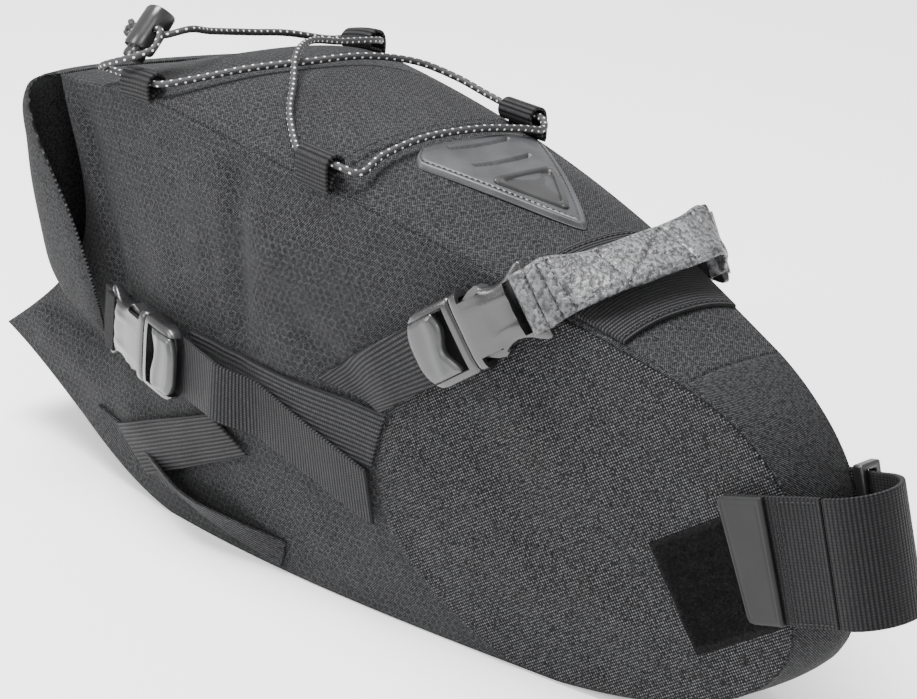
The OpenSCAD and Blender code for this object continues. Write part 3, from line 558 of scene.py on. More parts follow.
def webbing_finish(name, lengthwise=True, rib=0.0021, dark=(0.0025, 0.0025, 0.003),
                   light=(0.05, 0.05, 0.053)):
    """Polyester webbing: round ribs along or across it, crossed by fine threads; the paler rib tops are a
    painted highlight.
    """
    f = Finish(name, dark, 0.65, Sheen_Weight=0.02, Sheen_Roughness=0.4, Specular_IOR_Level=0.15)
    at = f.cloth()
    split = f.tree.nodes.new("ShaderNodeSeparateXYZ")
    f.link(split.inputs[0], at)
    a, b = (split.outputs[1], split.outputs[0]) if lengthwise else (split.outputs[0], split.outputs[1])
    ribs = f.calc("ABSOLUTE", f.calc("SINE", f.calc("MULTIPLY", a, math.pi / rib)))
    picks = f.calc("MULTIPLY_ADD", f.calc("SINE", f.calc("MULTIPLY", b, 2 * math.pi / 0.0011)), 0.5, 0.5)
    fuzz = f.noise(f.place(), 700, 2)
    # painted highlight: the rib tops are made paler than the dark webbing
    painted_top_highlight = f.calc("MULTIPLY", f.span(ribs, 0.35, 1.0), f.calc("MULTIPLY_ADD", picks, 0.6, 0.4))
    f.set(Base_Color=f.mix(f.calc("MULTIPLY", painted_top_highlight, f.span(fuzz, 0.25, 0.8, 0.5, 1.0)), dark, light))
    f.bump(picks, 0.00012, f.bump(ribs, 0.00045))
    return f


ribbed = webbing_finish("webbing_lengthwise")
cross_ribbed = webbing_finish("webbing_crosswise", False, 0.0016)


def band(name, rows, thick, normal, finish, replaces=(), slot="webbing", body="root", uv=None):
    """Flat woven band: rows are its outer face; the inner face lies thick below it along normal."""
    o = slab(name, rows, rows - normal * thick, finish, uv, bevel=min(0.45, thick * 0.3))
    return own(o, body, slot, *replaces)


def side_band(a, b, c, d, lift, steps=40, cols=9, s=-1, sway=0.0):
    """Band laid on the side between corners a, b at its start and c, d at its end, as (x, z)."""
    i, j = np.meshgrid(np.linspace(0, 1, steps), np.linspace(0, 1, cols), indexing="ij")
    a, b, c, d = (np.array(p, float) for p in (a, b, c, d))
    p = lerp(lerp(a, c, i[..., None]), lerp(b, d, i[..., None]), j[..., None])
    p[..., 1] += sway * np.sin(np.pi * i)
    return on_side(p[..., 0], p[..., 1], lift, s)


for hand, s in (("right", -1), ("left", 1)):
    out = np.array([0, s, 0])
    wing = side_band((-mouth_x + 16, 32), (-mouth_x + 22, 20), (-30, 15), (-34, 2), web_gap + 1.6, 60, 12, s)
    run, across = np.meshgrid(np.linspace(0, 1, 60), np.linspace(1, 0, 12), indexing="ij")
    wing[..., 1] += s * 9 * np.sin(np.pi * np.clip((run - 0.22) / 0.78, 0, 1)) ** 1.5 * across
    band("wing_cloth_" + hand, wing, 1.6, out, plain_cloth, ["wing_" + hand], "shell_fabric")
    w = side_band((-146, 31), (-122, 15), (-70, 62), (-46, 51), web_gap * 2 + 1.6 + web_t + 0.3, s=s)
    band("wing_web_" + hand, w, web_t, out, ribbed, ["wing_webbing_" + hand])
    w = side_band((-84, 95), (-84, 95 - web_w), (32, 92.5), (24, 92 - web_w), web_gap + web_t + 0.2, s=s)
    band("upper_web_" + hand, w, web_t, out, ribbed, ["upper_webbing_" + hand])

# ---------------------------------------------------------------------------
# Side release buckles: moulded acetal, a socket with a fluted barrel and two
# horns, a plug with a window and a pale cam lever. Local X runs from socket
# to plug, local Z away from the bag, the origin in the socket's mouth.
# ---------------------------------------------------------------------------
buckle_w, socket_len, plug_len = 32, 36, 26
half_slot, channel_z = buckle_w / 2 - 2.9, -2.3
saddle_at, saddle_left_at, saddle_turn = (79, -52, 142), (83, -54, 144), (-86, 34, -163)
roll_at, roll_turn = (-106, -71.5, 81.5), (86, 1, -10)


def turn_matrix(r):
    a, b, c = np.radians(r)
    x = np.array([[1, 0, 0], [0, np.cos(a), -np.sin(a)], [0, np.sin(a), np.cos(a)]])
    y = np.array([[np.cos(b), 0, np.sin(b)], [0, 1, 0], [-np.sin(b), 0, np.cos(b)]])
    z = np.array([[np.cos(c), -np.sin(c), 0], [np.sin(c), np.cos(c), 0], [0, 0, 1]])
    return z @ y @ x


def turned(p, at, r, s=-1):
    """Points of a buckle's frame carried to the bag; s = 1 gives the mirrored left-hand copy."""
    w = np.asarray(at, float) + np.asarray(p, float) @ turn_matrix(r).T
    return w * (1, -1, 1) if s > 0 else w


def plastic(name, dark, light, rough=0.36, grain=0.00004):
    """Satin moulded plastic: a fine spark texture, dulled in patches and paler where it is handled."""
    f = Finish(name, dark, rough, Specular_IOR_Level=0.7, Coat_Weight=0.25, Coat_Roughness=0.22)
    at = f.place()
    cloud = f.noise(at, 45, 4)
    spark = f.noise(at, 2200, 2)
    f.set(Base_Color=f.mix(f.span(cloud, 0.35, 0.75), dark, light),
          Roughness=f.span(cloud, 0.2, 0.8, rough - 0.06, rough + 0.14))
    f.bump(spark, grain)
    return f


black_plastic = plastic("black_acetal", (0.006, 0.006, 0.0065), (0.012, 0.012, 0.013), 0.27)
lever_plastic = plastic("charcoal_acetal", (0.014, 0.0143, 0.015), (0.034, 0.0345, 0.036), 0.36, 0.00008)


def loft(rings):
    """Closed solid through rings of points, with a fan at each end."""
    rings = np.asarray(rings, float)
    n, m = rings.shape[:2]
    i, k = np.meshgrid(np.arange(n - 1), np.arange(m), indexing="ij")
    a, b = (i * m + k).ravel(), (i * m + (k + 1) % m).ravel()
    verts = np.concatenate([rings.reshape(-1, 3), rings[0].mean(0)[None], rings[-1].mean(0)[None]])
    k = np.arange(m)
    faces = [tuple(q) for q in np.stack([a, b, b + m, a + m], -1).tolist()]
    faces += [tuple(q) for q in np.stack([(k + 1) % m, k, 0 * k + n * m], -1).tolist()]
    last = (n - 1) * m
    faces += [tuple(q) for q in np.stack([last + k, last + (k + 1) % m, 0 * k + n * m + 1], -1).tolist()]
    return verts, faces


def rounded(xs, half_y, half_z, power=5.0, n=56, flute=0.0, mid_z=0.0):
    """Rings of a superellipse across x; flute raises three rounded ridges on the outer face."""
    t = np.linspace(0, 2 * np.pi, n, endpoint=False)
    c, s = np.cos(t), np.sin(t)
    y = np.sign(c) * np.abs(c) ** (2 / power)
    z = np.sign(s) * np.abs(s) ** (2 / power)
    xs, half_y, half_z, flute = (np.broadcast_to(np.asarray(v, float), np.shape(xs))
                                 for v in (xs, half_y, half_z, flute))
    yy = half_y[:, None] * y
    zz = half_z[:, None] * z + mid_z
    rib = np.cos(2 * np.pi * yy / 6.4) * np.exp(-(yy / 8.5) ** 4)
    zz = zz + flute[:, None] * np.where(z > 0, rib, 0) * np.clip(z * 2, 0, 1)
    return np.stack([xs[:, None] + 0 * yy, yy, zz], -1)


def cut(o, tools):
    """Cuts closed loops of rings out of o by exact Boolean, then removes the tools."""
    for rings in tools:
        v, f = loft(rings)
        tool = put("tool", v, f)
        mod = o.modifiers.new("cut", "BOOLEAN")
        mod.operation, mod.object, mod.solver = "DIFFERENCE", tool, "EXACT"
        graph = bpy.context.evaluated_depsgraph_get()
        mesh = bpy.data.meshes.new_from_object(o.evaluated_get(graph))
        o.modifiers.clear()
        o.data = mesh
        bpy.data.objects.remove(tool)
    return o


def smooth_by_angle(o, degrees):
    """Smooth shading, kept sharp where faces meet at more than the given angle."""
    mesh = o.data
    mesh.polygons.foreach_set("use_smooth", np.full(len(mesh.polygons), True))
    mesh.set_sharp_from_angle(angle=math.radians(degrees))


def block(x0, x1, y0, y1, z0, z1, power=6.0, n=24):
    """A box with rounded corners across x, as rings."""
    r = rounded(np.array([x0, x1], float), (y1 - y0) / 2, (z1 - z0) / 2, power, n, mid_z=(z0 + z1) / 2)
    return r + np.array([0, (y0 + y1) / 2, 0])


def carry(o, move):
    """Moves a mesh's own vertices by a function of points in mm."""
    co = np.zeros(len(o.data.vertices) * 3, np.float32)
    o.data.vertices.foreach_get("co", co)
    o.data.vertices.foreach_set("co", (move(co.reshape(-1, 3) * 1000) * 0.001).astype(np.float32).ravel())
    o.data.update()


def settle(o, at, r, s, body, slot, finish, replaces):
    """Carries a piece from the buckle's frame to the bag, as geometry."""
    carry(o, lambda p: turned(p, at, r, s))
    if s > 0:
        o.data.flip_normals()
    o.data.materials.clear()
    o.data.materials.append(finish.mat)
    own(o, body, slot, *replaces)


def socket_piece(name):
    """Barrel with a waist, flaring to two horns; windows, mouth and webbing slot are cut out of it."""
    x = np.array([-37.2, -36.6, -35, -32, -29, -26, -23, -20, -17, -15, -13, -9, -5, -2, -0.8, -0.2])
    wide = np.array([15.2, 15.9, 16, 14.6, 12.8, 11.8, 11.4, 11.7, 12.8, 14.2, 15.3, 15.9, 16, 16, 15.8,
                     15.3])
    deep = np.array([1.6, 2.1, 2.6, 3.4, 4.2, 4.7, 4.8, 4.8, 4.8, 4.85, 4.9, 4.9, 5, 5, 4.8, 4.3])
    flute = np.array([0, 0, 0, 0, 0.15, 0.35, 0.4, 0.4, 0.4, 0.4, 0.35, 0.3, 0.2, 0, 0, 0])
    v, f = loft(rounded(x, wide, deep, 4.2, 72, flute))
    o = put(name, v, f)
    windows = [block(-15.6, -4.2, s * 15 - 3.6, s * 15 + 3.6, -7, 7, 9, 28) for s in (-1, 1)]
    arcs = [rounded(np.array([-40.0, -33.4]), half_slot - 0.4, 9, 12, 24)]
    arcs += [rounded(np.array([-32.6, -27.6]), half_slot - 2.2, 9, 12, 24)]
    mouth = [rounded(np.array([-18.5, 2.0]), 13.6, 2.8, 8, 24)]
    cut(o, windows + mouth + arcs)
    smooth_by_angle(o, 38)
    return o


def plug_piece(name):
    """Frame of the plug: a rounded yoke with two side rails round the lever's window."""
    x = np.array([0.35, 0.9, 2, 6, 12, 18, 21, 23.5, 25, 25.4])
    wide = np.array([15.3, 15.8, 16, 16, 16, 16, 15.6, 14.2, 12.4, 11.4])
    deep = np.array([4.1, 4.5, 4.6, 4.55, 4.5, 4.3, 4.0, 3.5, 2.7, 2.0])
    v, f = loft(rounded(x, wide, deep, 4.6, 64))
    o = put(name, v, f)
    cut(o, [rounded(np.array([4.0, 30.0]), half_slot, 6, 14, 24, mid_z=4.2),
            rounded(np.array([-1.0, 5.2]), 11.5, 2.0, 10, 24, mid_z=-5.2)])
    smooth_by_angle(o, 38)
    return o


def lever_piece(name):
    """Cam lever: a pad with a wavy front edge and a soft wave moulded in its outer face."""
    i, j = np.meshgrid(np.linspace(0, 1, 28), np.linspace(-1, 1, 41), indexing="ij")
    front = 10.4 + 1.5 * np.sin(2.6 * np.pi * j * 0.5 + 0.6) - 0.8 * j * j
    back = 26.6 - 3.6 * np.abs(j) ** 3.2
    x, y = lerp(front, back, i), 12.55 * j
    edge = np.minimum(np.minimum(i, 1 - i) * 10, (1 - np.abs(j)) * 7)
    z = 5.1 - 0.9 * (1 - ramp(np.clip(edge, 0, 1)))
    z = z + 0.55 * np.exp(-((x - 14.5 - 1.5 * np.sin(2.1 * j)) / 2.6) ** 2)
    z = z - 1.3 * np.clip(i - 0.72, 0, 1) * 3 * (i - 0.5)
    return slab(name, np.stack([x, y, z], -1), np.stack([x, y, np.full_like(x, 1.7) - 0.6 * i], -1),
                lever_plastic)


for kind, at_by_side, r in (("saddle", {"right": saddle_at, "left": saddle_left_at}, saddle_turn),
                            ("roll", {"right": roll_at, "left": roll_at}, roll_turn)):
    for hand, s in (("right", -1), ("left", 1)):
        at = at_by_side[hand]
        base = "root" if kind == "saddle" else "roll_closure"
        tag = f"{kind}_%s_{hand}"
        settle(socket_piece(tag % "buckle_socket"), at, r, s, base, "buckle_plastic", black_plastic,
               [tag % "socket"])
        settle(plug_piece(tag % "buckle_plug"), at, r, s, tag % "plug", "buckle_plastic", black_plastic,
               [tag % "plug"])
        settle(lever_piece(tag % "buckle_lever"), at, r, s, tag % "lever", "lever_plastic", lever_plastic,
               [tag % "lever"])
        for side in "ab":
            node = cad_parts[f"{kind}_prong_{hand}_{side}"]
            node.data.materials.clear()
            node.data.materials.append(black_plastic.mat)

strap_z, plug_travel = channel_z - web_gap - web_t, 24


def plug_webbing(at, r, reach, lift, s):
    """Webbing straight under the plug and its travel, then easing down on to the side."""
    i, j = np.meshgrid(np.linspace(0, 1, 50), np.linspace(0, 1, 11), indexing="ij")
    free = plug_len + plug_travel
    x = 5 + (lerp(reach[0], reach[1], j) - 5) * i
    p = np.asarray(at, float) + np.stack([x, web_w * (0.5 - j), 0 * x + strap_z + web_t],
                                         -1) @ turn_matrix(r).T
    ease = ramp((x - free) / 30)
    bag = -(side_y(p[..., 0], p[..., 2]) + folds(p[..., 0], p[..., 2]) * 0.8 + lift + web_t)
    p[..., 1] = np.minimum(lerp(p[..., 1], bag, ease), bag + 0.1)
    return p * (1, -1, 1) if s > 0 else p


for hand, s, at in (("right", -1, saddle_at), ("left", 1, saddle_left_at)):
    band("saddle_web_" + hand, plug_webbing(at, saddle_turn, (66, 97), web_gap, s), web_t,
         np.array([0, s, 0]), ribbed, ["saddle_webbing_" + hand])
for hand, s in (("right", -1), ("left", 1)):
    i, j = np.meshgrid(np.linspace(0, 1, 70), np.linspace(0, 1, 11), indexing="ij")
    x = lerp(5, plug_len + plug_travel, np.minimum(1, i * 3))
    w = np.asarray(roll_at, float) + np.stack([x, web_w * (0.5 - j), 0 * x + strap_z + web_t],
                                              -1) @ turn_matrix(roll_turn).T
    t = np.clip((i * 3 - 1) / 2, 0, 1)
    end = lerp(np.array([23, 66.0]), np.array([26, 68.0 - web_w]), j[..., None])
    p = lerp(w[..., [0, 2]], end, t[..., None])
    flat = -(side_y(p[..., 0], p[..., 1]) + folds(p[..., 0], p[..., 1]) * 0.8 + web_gap * 2 + 2 * web_t + 0.3)
    y = np.minimum(lerp(w[..., 1], flat, ramp(t * 4)), flat + 0.1)
    rows = np.stack([p[..., 0], y, p[..., 1]], -1) * (1, -s, 1)
    band("lower_web_" + hand, rows, web_t, np.array([0, s, 0]), cross_ribbed, ["lower_webbing_" + hand])

# ---------------------------------------------------------------------------
# Roll closure: the mouth's collar of plain cloth rolled into a flat band over
# the rear, with an ear folded forward on each side that carries a buckle.
# ---------------------------------------------------------------------------
band_line = np.array([[-0.8, 0.8], [-8, 0], [-16, -3.5], [-24, -12], [-29, -26], [-32, -50], [-32.5, -75],
                      [-32, -95], [-28, -106]], float)
lip_line = np.array([[-1, 0.5], [-8, -2], [-12, -9], [-9, -22], [1, -40], [13, -60], [22, -84], [26, -106],
                     [24, -119]], float)


def through(points, t):
    """A smooth line through points: Catmull-Rom, at parameters t from 0 to 1."""
    p = np.asarray(points, float)
    n = len(p) - 1
    ext = np.concatenate([[2 * p[0] - p[1]], p, [2 * p[-1] - p[-2]]])
    k = np.clip((np.asarray(t) * n).astype(int), 0, n - 1)
    u = (np.asarray(t) * n - k)[..., None]
    a, b, c, d = ext[k], ext[k + 1], ext[k + 2], ext[k + 3]
    return 0.5 * (2 * b + (c - a) * u + (2 * a - 5 * b + 4 * c - d) * u ** 2 + (3 * b - a - 3 * c + d)
                  * u ** 3)


collar_cloth = shell_cloth("collar_twill", (0.0045, 0.0046, 0.005), (0.09, 0.091, 0.095), 0, 0.0012, True,
                           0.0003)
v = np.linspace(0, 1, 70)
rear_p = through(band_line, v) + (-mouth_x, rear_h)
lip_p = through(lip_line, v) + (-mouth_x, rear_h)
u = np.linspace(-1, 1, 121)
angle = np.abs(u) * np.pi / 2
back_share = np.cos(angle)[None, :] ** 0.42
lip_y = side_y(lip_p[:, 0], lip_p[:, 1]) + 3.5 + 11 * np.sin(np.pi * np.clip(v * 0.98, 0, 1)) ** 1.2
lip_y = np.where(v < 0.12, lerp(side_y(lip_p[:, 0], lip_p[:, 1]), lip_y, ramp(v / 0.12)), lip_y)
x = lip_p[:, :1] + (rear_p[:, :1] - lip_p[:, :1]) * back_share
z = lip_p[:, 1:] + (rear_p[:, 1:] - lip_p[:, 1:]) * back_share
y = np.sign(u) * np.sin(angle)[None, :] ** 0.42 * lip_y[:, None]
soft = 0.5 * np.sin(v * 21)[:, None] * np.sin(u * 9 + v[:, None]
                                              * 4) + 0.8 * np.sin(v * 9)[:, None] * np.cos(u * 5)
x = x - soft * back_share
collar = skin("roll_closure_cloth", slump(np.stack([x, y, z], -1)), collar_cloth, 1.2)
own(collar, "roll_closure", "collar_fabric", "roll_closure")


def soften(node, width, body, slot, finish, degrees=35):
    """A merged copy of a CAD node with its hard edges rounded by a Bevel, shown in the node's place."""
    bm = bmesh.new()
    bm.from_mesh(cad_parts[node].data)
    bmesh.ops.remove_doubles(bm, verts=bm.verts, dist=1e-6)
    bmesh.ops.dissolve_limit(bm, angle_limit=math.radians(2), verts=bm.verts, edges=bm.edges)
    mesh = bpy.data.meshes.new(node + "_shown")
    bm.to_mesh(mesh)
    bm.free()
    o = bpy.data.objects.new(node + "_shown", mesh)
    bpy.context.scene.collection.objects.link(o)
    mod = o.modifiers.new("edge", "BEVEL")
    mod.width, mod.segments = width * 0.001, 3
    mod.limit_method, mod.angle_limit = "ANGLE", math.radians(degrees)
    smooth_by_angle(o, degrees)
    mesh.materials.clear()
    mesh.materials.append(finish.mat)
    return own(o, body, slot, node)


for hand in ("right", "left"):
    soften("roll_stub_" + hand, 0.4, "roll_closure", "webbing", collar_cloth)

# ---------------------------------------------------------------------------
# Saddle strap: a foam-filled strap of grained synthetic leather, stitched
# round its border and crossed by a boxed X, folded round both socket bars.
# ---------------------------------------------------------------------------
cross_x, pad_t = 117, 4.2
bar_x = -socket_len + 2.5


def bar_end(at, s):
    """Where the strap meets the bar of a socket."""
    return turned([bar_x - 2.0 - 1.6, 0, 0], at, saddle_turn, s)


pad_line = np.array([bar_end(saddle_at, -1), [cross_x - 4, -36, 168], [cross_x + 1, -24, 170.5],
                     [cross_x + 3, -10, 171.5],
                     [cross_x + 3.5, 4, 172.5], [cross_x + 3.5, 18, 173], [cross_x + 2.5, 30, 173.5],
                     [cross_x - 2, 40, 171],
                     bar_end(saddle_left_at, 1)], float)
wide_r = turn_matrix(saddle_turn) @ np.array([0, 1, 0])
wide_l = wide_r * (1, -1, 1)
flat_dir = np.array([0.95, 0.02, -0.3])
t = np.linspace(0, 1, 150)
mid = through(pad_line, t)
ease_r, ease_l = ramp(t * 3.2), ramp(t * 3.6 - 2.6)
wide = wide_r + (flat_dir - wide_r) * ease_r[:, None]
wide = wide + (wide_l - wide) * ease_l[:, None]
wide /= np.linalg.norm(wide, axis=1)[:, None]
ahead = np.gradient(mid, axis=0)
ahead /= np.linalg.norm(ahead, axis=1)[:, None]
above = np.cross(wide, ahead)
above /= np.linalg.norm(above, axis=1)[:, None]


def pad_point(i, j, off):
    """Point of the strap: i along it in rows, j across from -1 to 1, off above its middle."""
    return mid[i][:, None] + wide[i][:, None] * (web_w / 2 * j)[None, :,
                                                                None] + above[i][:, None] * off[..., None]


grain = Finish("grained_leather", (0.055, 0.056, 0.058), 0.42, Specular_IOR_Level=0.55)
at = grain.place()
pebble = grain.span(grain.noise(at, 520, 2.0, 0.5), 0.32, 0.62)
broad = grain.noise(at, 140, 3)
# painted shade and highlight: the pits between the pebbles are near black and the pebble tops paler; the
# broad cloud on the tops is random tone
grain_tops = grain.mix(grain.span(broad, 0.3, 0.7), (0.075, 0.076, 0.079), (0.15, 0.151, 0.156))
grain.set(Base_Color=grain.mix(pebble, (0.018, 0.018, 0.02), grain_tops),
          Roughness=grain.span(pebble, 0, 1, 0.55, 0.34))
grain.bump(pebble, 0.0004, grain.bump(broad, 0.0004))
j = np.linspace(-1, 1, 33)
i = np.arange(len(t))
border = 1 - np.exp(-((np.abs(j) - 0.84) / 0.05) ** 2) * 0.55
fill = (1 - np.abs(j) ** 10)[None, :] * border[None, :]
cross_rows = np.array([0.075, 0.13, 0.33, 0.62, 0.80, 0.90])
seams_across = 1 - 0.5 * np.exp(-((t[:, None] - cross_rows) / 0.006) ** 2).max(1)
box = (t > 0.33) & (t < 0.62)
q = (t - 0.33) / 0.29 * 2 - 1
x_seam = 1 - 0.5 * np.where(box[:, None], np.exp(-((np.abs(q)[:, None] - np.abs(j)[None] / 0.84)
                                                   / 0.07) ** 2) * (np.abs(j) < 0.84), 0)
plump = pad_t / 2 * (0.35 + 0.65 * fill) * seams_across[:, None] * x_seam
pad = slab("saddle_pad", pad_point(i, j, plump), pad_point(i, j, -plump * 0.7), grain, bevel=0)
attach(pad, "root")
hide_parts("saddle_strap")
rows = []
for edge in (-0.86, 0.86):
    rows.append(pad_point(i, np.array([edge]), np.full((len(i), 1), pad_t * 0.30))[4:-4, 0])
for c in cross_rows:
    k = np.array([int(c * (len(t) - 1))])
    rows.append(pad_point(k, np.linspace(-0.86, 0.86, 30), np.full((1, 30), pad_t * 0.30))[0])
for a, b in ((-0.84, 0.84), (0.84, -0.84)):
    k = np.linspace(0.33, 0.62, 40) * (len(t) - 1)
    k0 = k.astype(int)
    across = np.linspace(a, b, 40)
    rows.append(mid[k0] + wide[k0] * (web_w / 2 * across)[:, None] + above[k0] * pad_t * 0.30)
normals = [lambda q: above[np.argmin(((q[:, None] - mid[None]) ** 2).sum(-1), 1)]] * len(rows)
dark_thread = Finish("dark_thread", (0.006, 0.006, 0.007), 0.55)
dark_thread.bump(weave(dark_thread, dark_thread.place(), 0.0004), 0.00005)
stitches("saddle_pad_stitching", rows, normals, 2.4, 1.9, 0.25, finish=dark_thread, slot="pad_leather")
for hand, s, at in (("right", -1, saddle_at), ("left", 1, saddle_left_at)):
    a = np.linspace(0, 2 * np.pi, 33)
    ring = np.stack([bar_x + 4.0 * np.cos(a), 0 * a, 4.0 * np.sin(a)], -1)
    inner = np.stack([bar_x + 2.5 * np.cos(a), 0 * a, 2.5 * np.sin(a)], -1)
    across = np.linspace(-web_w / 2, web_w / 2, 12)[None, :, None] * np.array([0, 1, 0])
    wrap = slab("saddle_pad_fold_" + hand, turned(ring[:, None] + across, at, saddle_turn, s),
                turned(inner[:, None] + across, at, saddle_turn, s), grain)
    if s > 0:
        wrap.data.flip_normals()
    own(wrap, "root", "pad_leather")

# ---------------------------------------------------------------------------
# Cross webbing: 50 mm webbing sewn over the top panel from seam to seam,
# which takes the load of the saddle strap that lies on it.
# ---------------------------------------------------------------------------
x, j = np.meshgrid(cross_x + 50 * np.linspace(-0.5, 0.5, 21), np.linspace(-1, 1, 61), indexing="ij")
y = -j * (half_w(x) - 0.6)
rows = slump(np.stack([x, y, top_z(x, y) + web_gap + web_t], -1))


def on_cross(x, y):
    return slump(np.stack([x + 0 * y, y, top_z(x, y) + web_gap + web_t + 0.15], -1))


flat = np.stack([y, x - cross_x], -1)
band("cross_web", rows, web_t, np.array([0, 0, 1]), webbing_finish("cross_webbing", True, 0.0014),
     ["cross_webbing"], uv=flat)
lines = [on_cross(xx, np.linspace(1.5 - half_w(xx), half_w(xx) - 1.5, 80))
         for xx in (cross_x - 23, cross_x + 23)]
stitches("cross_web_stitching", lines, [np.array([0, 0, 1.0])] * 2)

# ---------------------------------------------------------------------------
# Badge: a moulded rubber patch sewn to the top panel, with two slots and a
# plain raised three-cornered frame.
# ---------------------------------------------------------------------------
rubber = Finish("badge_rubber", (0.030, 0.031, 0.033), 0.42, Specular_IOR_Level=0.45)
at = rubber.place()
rubber.set(Base_Color=rubber.mix(rubber.span(rubber.noise(at, 60, 4), 0.3, 0.75), (0.024, 0.025, 0.027),
                                 (0.045, 0.046, 0.049)))
rubber.bump(rubber.noise(at, 1500, 2), 0.00006)


def badge_shift(x):
    """The badge sits a little to the left at its rear."""
    return lerp(9, 2, (x - 6) / 80)


def on_top(x, y, off):
    return slump(np.stack([x, y, top_z(x, y) + off], -1))


s, j = np.meshgrid(np.linspace(0, 1, 150), np.linspace(-1, 1, 121), indexing="ij")
half = 37 * (1 - 0.36 * np.clip(1 - s / 0.14, 0, 1) ** 2) * (0.72 * (1 - s) + 0.28
                                                             * np.sqrt(np.clip(1 - s, 0, 1)))
x = 6 + 78.5 * s + 3.0 * (1 - s) * (1 - j * j) * np.clip(1 - s / 0.3, 0, 1)
y = badge_shift(x) - j * half
rim_d = np.minimum(half * (1 - np.abs(j)), np.minimum(s * 78, (1 - s) * 60))
relief = 2.0 * ramp(rim_d / 1.2) - 0.35 * np.exp(-((rim_d - 3.0) / 0.5) ** 2)
for slot_x, slot_half in ((16.5, 16), (32, 15)):
    dy = y - badge_shift(slot_x)
    centre = slot_x - 2.5 * (dy / 14) ** 2
    inside = ramp((slot_half - np.abs(dy)) / 0.8) * ramp((1.5 - np.abs(x - centre)) / 0.6)
    relief = relief - 1.6 * inside
badge = slab("top_badge", on_top(x, y, 0.4 + relief), on_top(x, y, 0 * x + 0.15), rubber)
own(badge, "root", "badge_rubber", "badge")
k = np.linspace(0.03, 0.985, 120)
lines = []
for sgn in (-1, 1):
    hw = 37 * (1 - 0.36 * np.clip(1 - k / 0.14, 0, 1) ** 2) * (0.72 * (1 - k) + 0.28 * np.sqrt(1 - k)) - 2.6
    bx = 6 + 76 * k
    keep = hw > 0.5
    lines.append(on_top(bx[keep], (badge_shift(bx) + sgn * hw)[keep], 2.35))
stitches("badge_stitching", lines, [np.array([0.2, 0, 1.0])] * 2, 2.6, 1.8, 0.24, finish=dark_thread,
         slot="badge_rubber")


def three_corners(grow, round_by=5.0):
    """Outline of a three-cornered frame with rounded corners, grown from its middle."""
    corner = np.array([[42, -17], [42, 17.5], [75, 0]], float)
    mid_c = corner.mean(0)
    corner = mid_c + (corner - mid_c) * grow
    out = []
    for a, b, c in ((2, 0, 1), (0, 1, 2), (1, 2, 0)):
        p, q, r = corner[a], corner[b], corner[c]
        start = q + (p - q) / np.linalg.norm(p - q) * round_by * grow
        stop = q + (r - q) / np.linalg.norm(r - q) * round_by * grow
        u = np.linspace(0, 1, 9)[:, None]
        out.append((1 - u) ** 2 * start + 2 * u * (1 - u) * q + u * u * stop)
    return np.concatenate(out)


rings = []
for grow, off in ((1.0, 1.9), (1.0, 3.3), (0.97, 3.7), (0.80, 3.7), (0.76, 3.3), (0.74, 2.5), (0.2, 2.5)):
    o = three_corners(grow)
    rings.append(on_top(o[:, 0], o[:, 1] + badge_shift(o[:, 0]), off))
v, f = loft(np.array(rings))


def face_out(o, merge=0.0):
    """Turns a closed mesh's faces outwards, after joining vertices nearer than merge, in metres."""
    bm = bmesh.new()
    bm.from_mesh(o.data)
    if merge:
        bmesh.ops.remove_doubles(bm, verts=bm.verts, dist=merge)
    bmesh.ops.recalc_face_normals(bm, faces=bm.faces)
    bm.to_mesh(o.data)
    bm.free()


emblem = put("badge_frame", v, f)
smooth_by_angle(emblem, 40)
face_out(emblem)
emblem.data.materials.append(black_plastic.mat)
own(emblem, "root", "badge_rubber", "badge_emblem")

# the fold line and topstitching of the seam that crosses the top panel behind the badge
y = np.linspace(-56, 56, 160)
seam_x = -5 - 5 * (y / 56) ** 2
i = np.linspace(-1, 1, 9)
lip = np.stack([on_top(seam_x + 1.6 * k, y, 0.25 + 0.75 * np.sqrt(max(0, 1 - k * k))) for k in i])
fold = skin("top_seam_fold", lip, ripstop, 0, flip=True)
own(fold, "root", "shell_fabric")
stitches("top_seam_stitching", [on_top(seam_x - 4.5, y, 0.25)], [np.array([0, 0, 1.0])], 2.6, 1.8, 0.22,
         slot="shell_fabric")

# ---------------------------------------------------------------------------
# Cord and its loops: 3 mm elastic cord with pale flecks, laced through four
# webbing loops in the top seams and joined by a knot behind a cord lock.
# ---------------------------------------------------------------------------
loop_x, loop_len, loop_r, cord_d, cord_pitch = (-125, -12), 20, 4.4, 3, 3.5
lock_at, lock_turn = (-139, -44, 210), (-42, 0, 0)


def loop_y(x):
    return half_w(x) - 3


def loop_z(x):
    d = np.arange(-12, 13, 6)
    return top_z(x + d, loop_y(x) - loop_r / 2).max() + loop_r - 0.3


def lock_pt(p):
    return np.asarray(lock_at, float) + np.asarray(p, float) @ turn_matrix(lock_turn).T


def over_top(points):
    p = np.array(points, float)
    p[:, 2] += top_z(p[:, 0], p[:, 1])
    return p


def in_loop(x, s):
    return np.array([[x + k * loop_len, s * loop_y(x), loop_z(x) + 0.7] for k in (-0.6, 0, 0.6)])


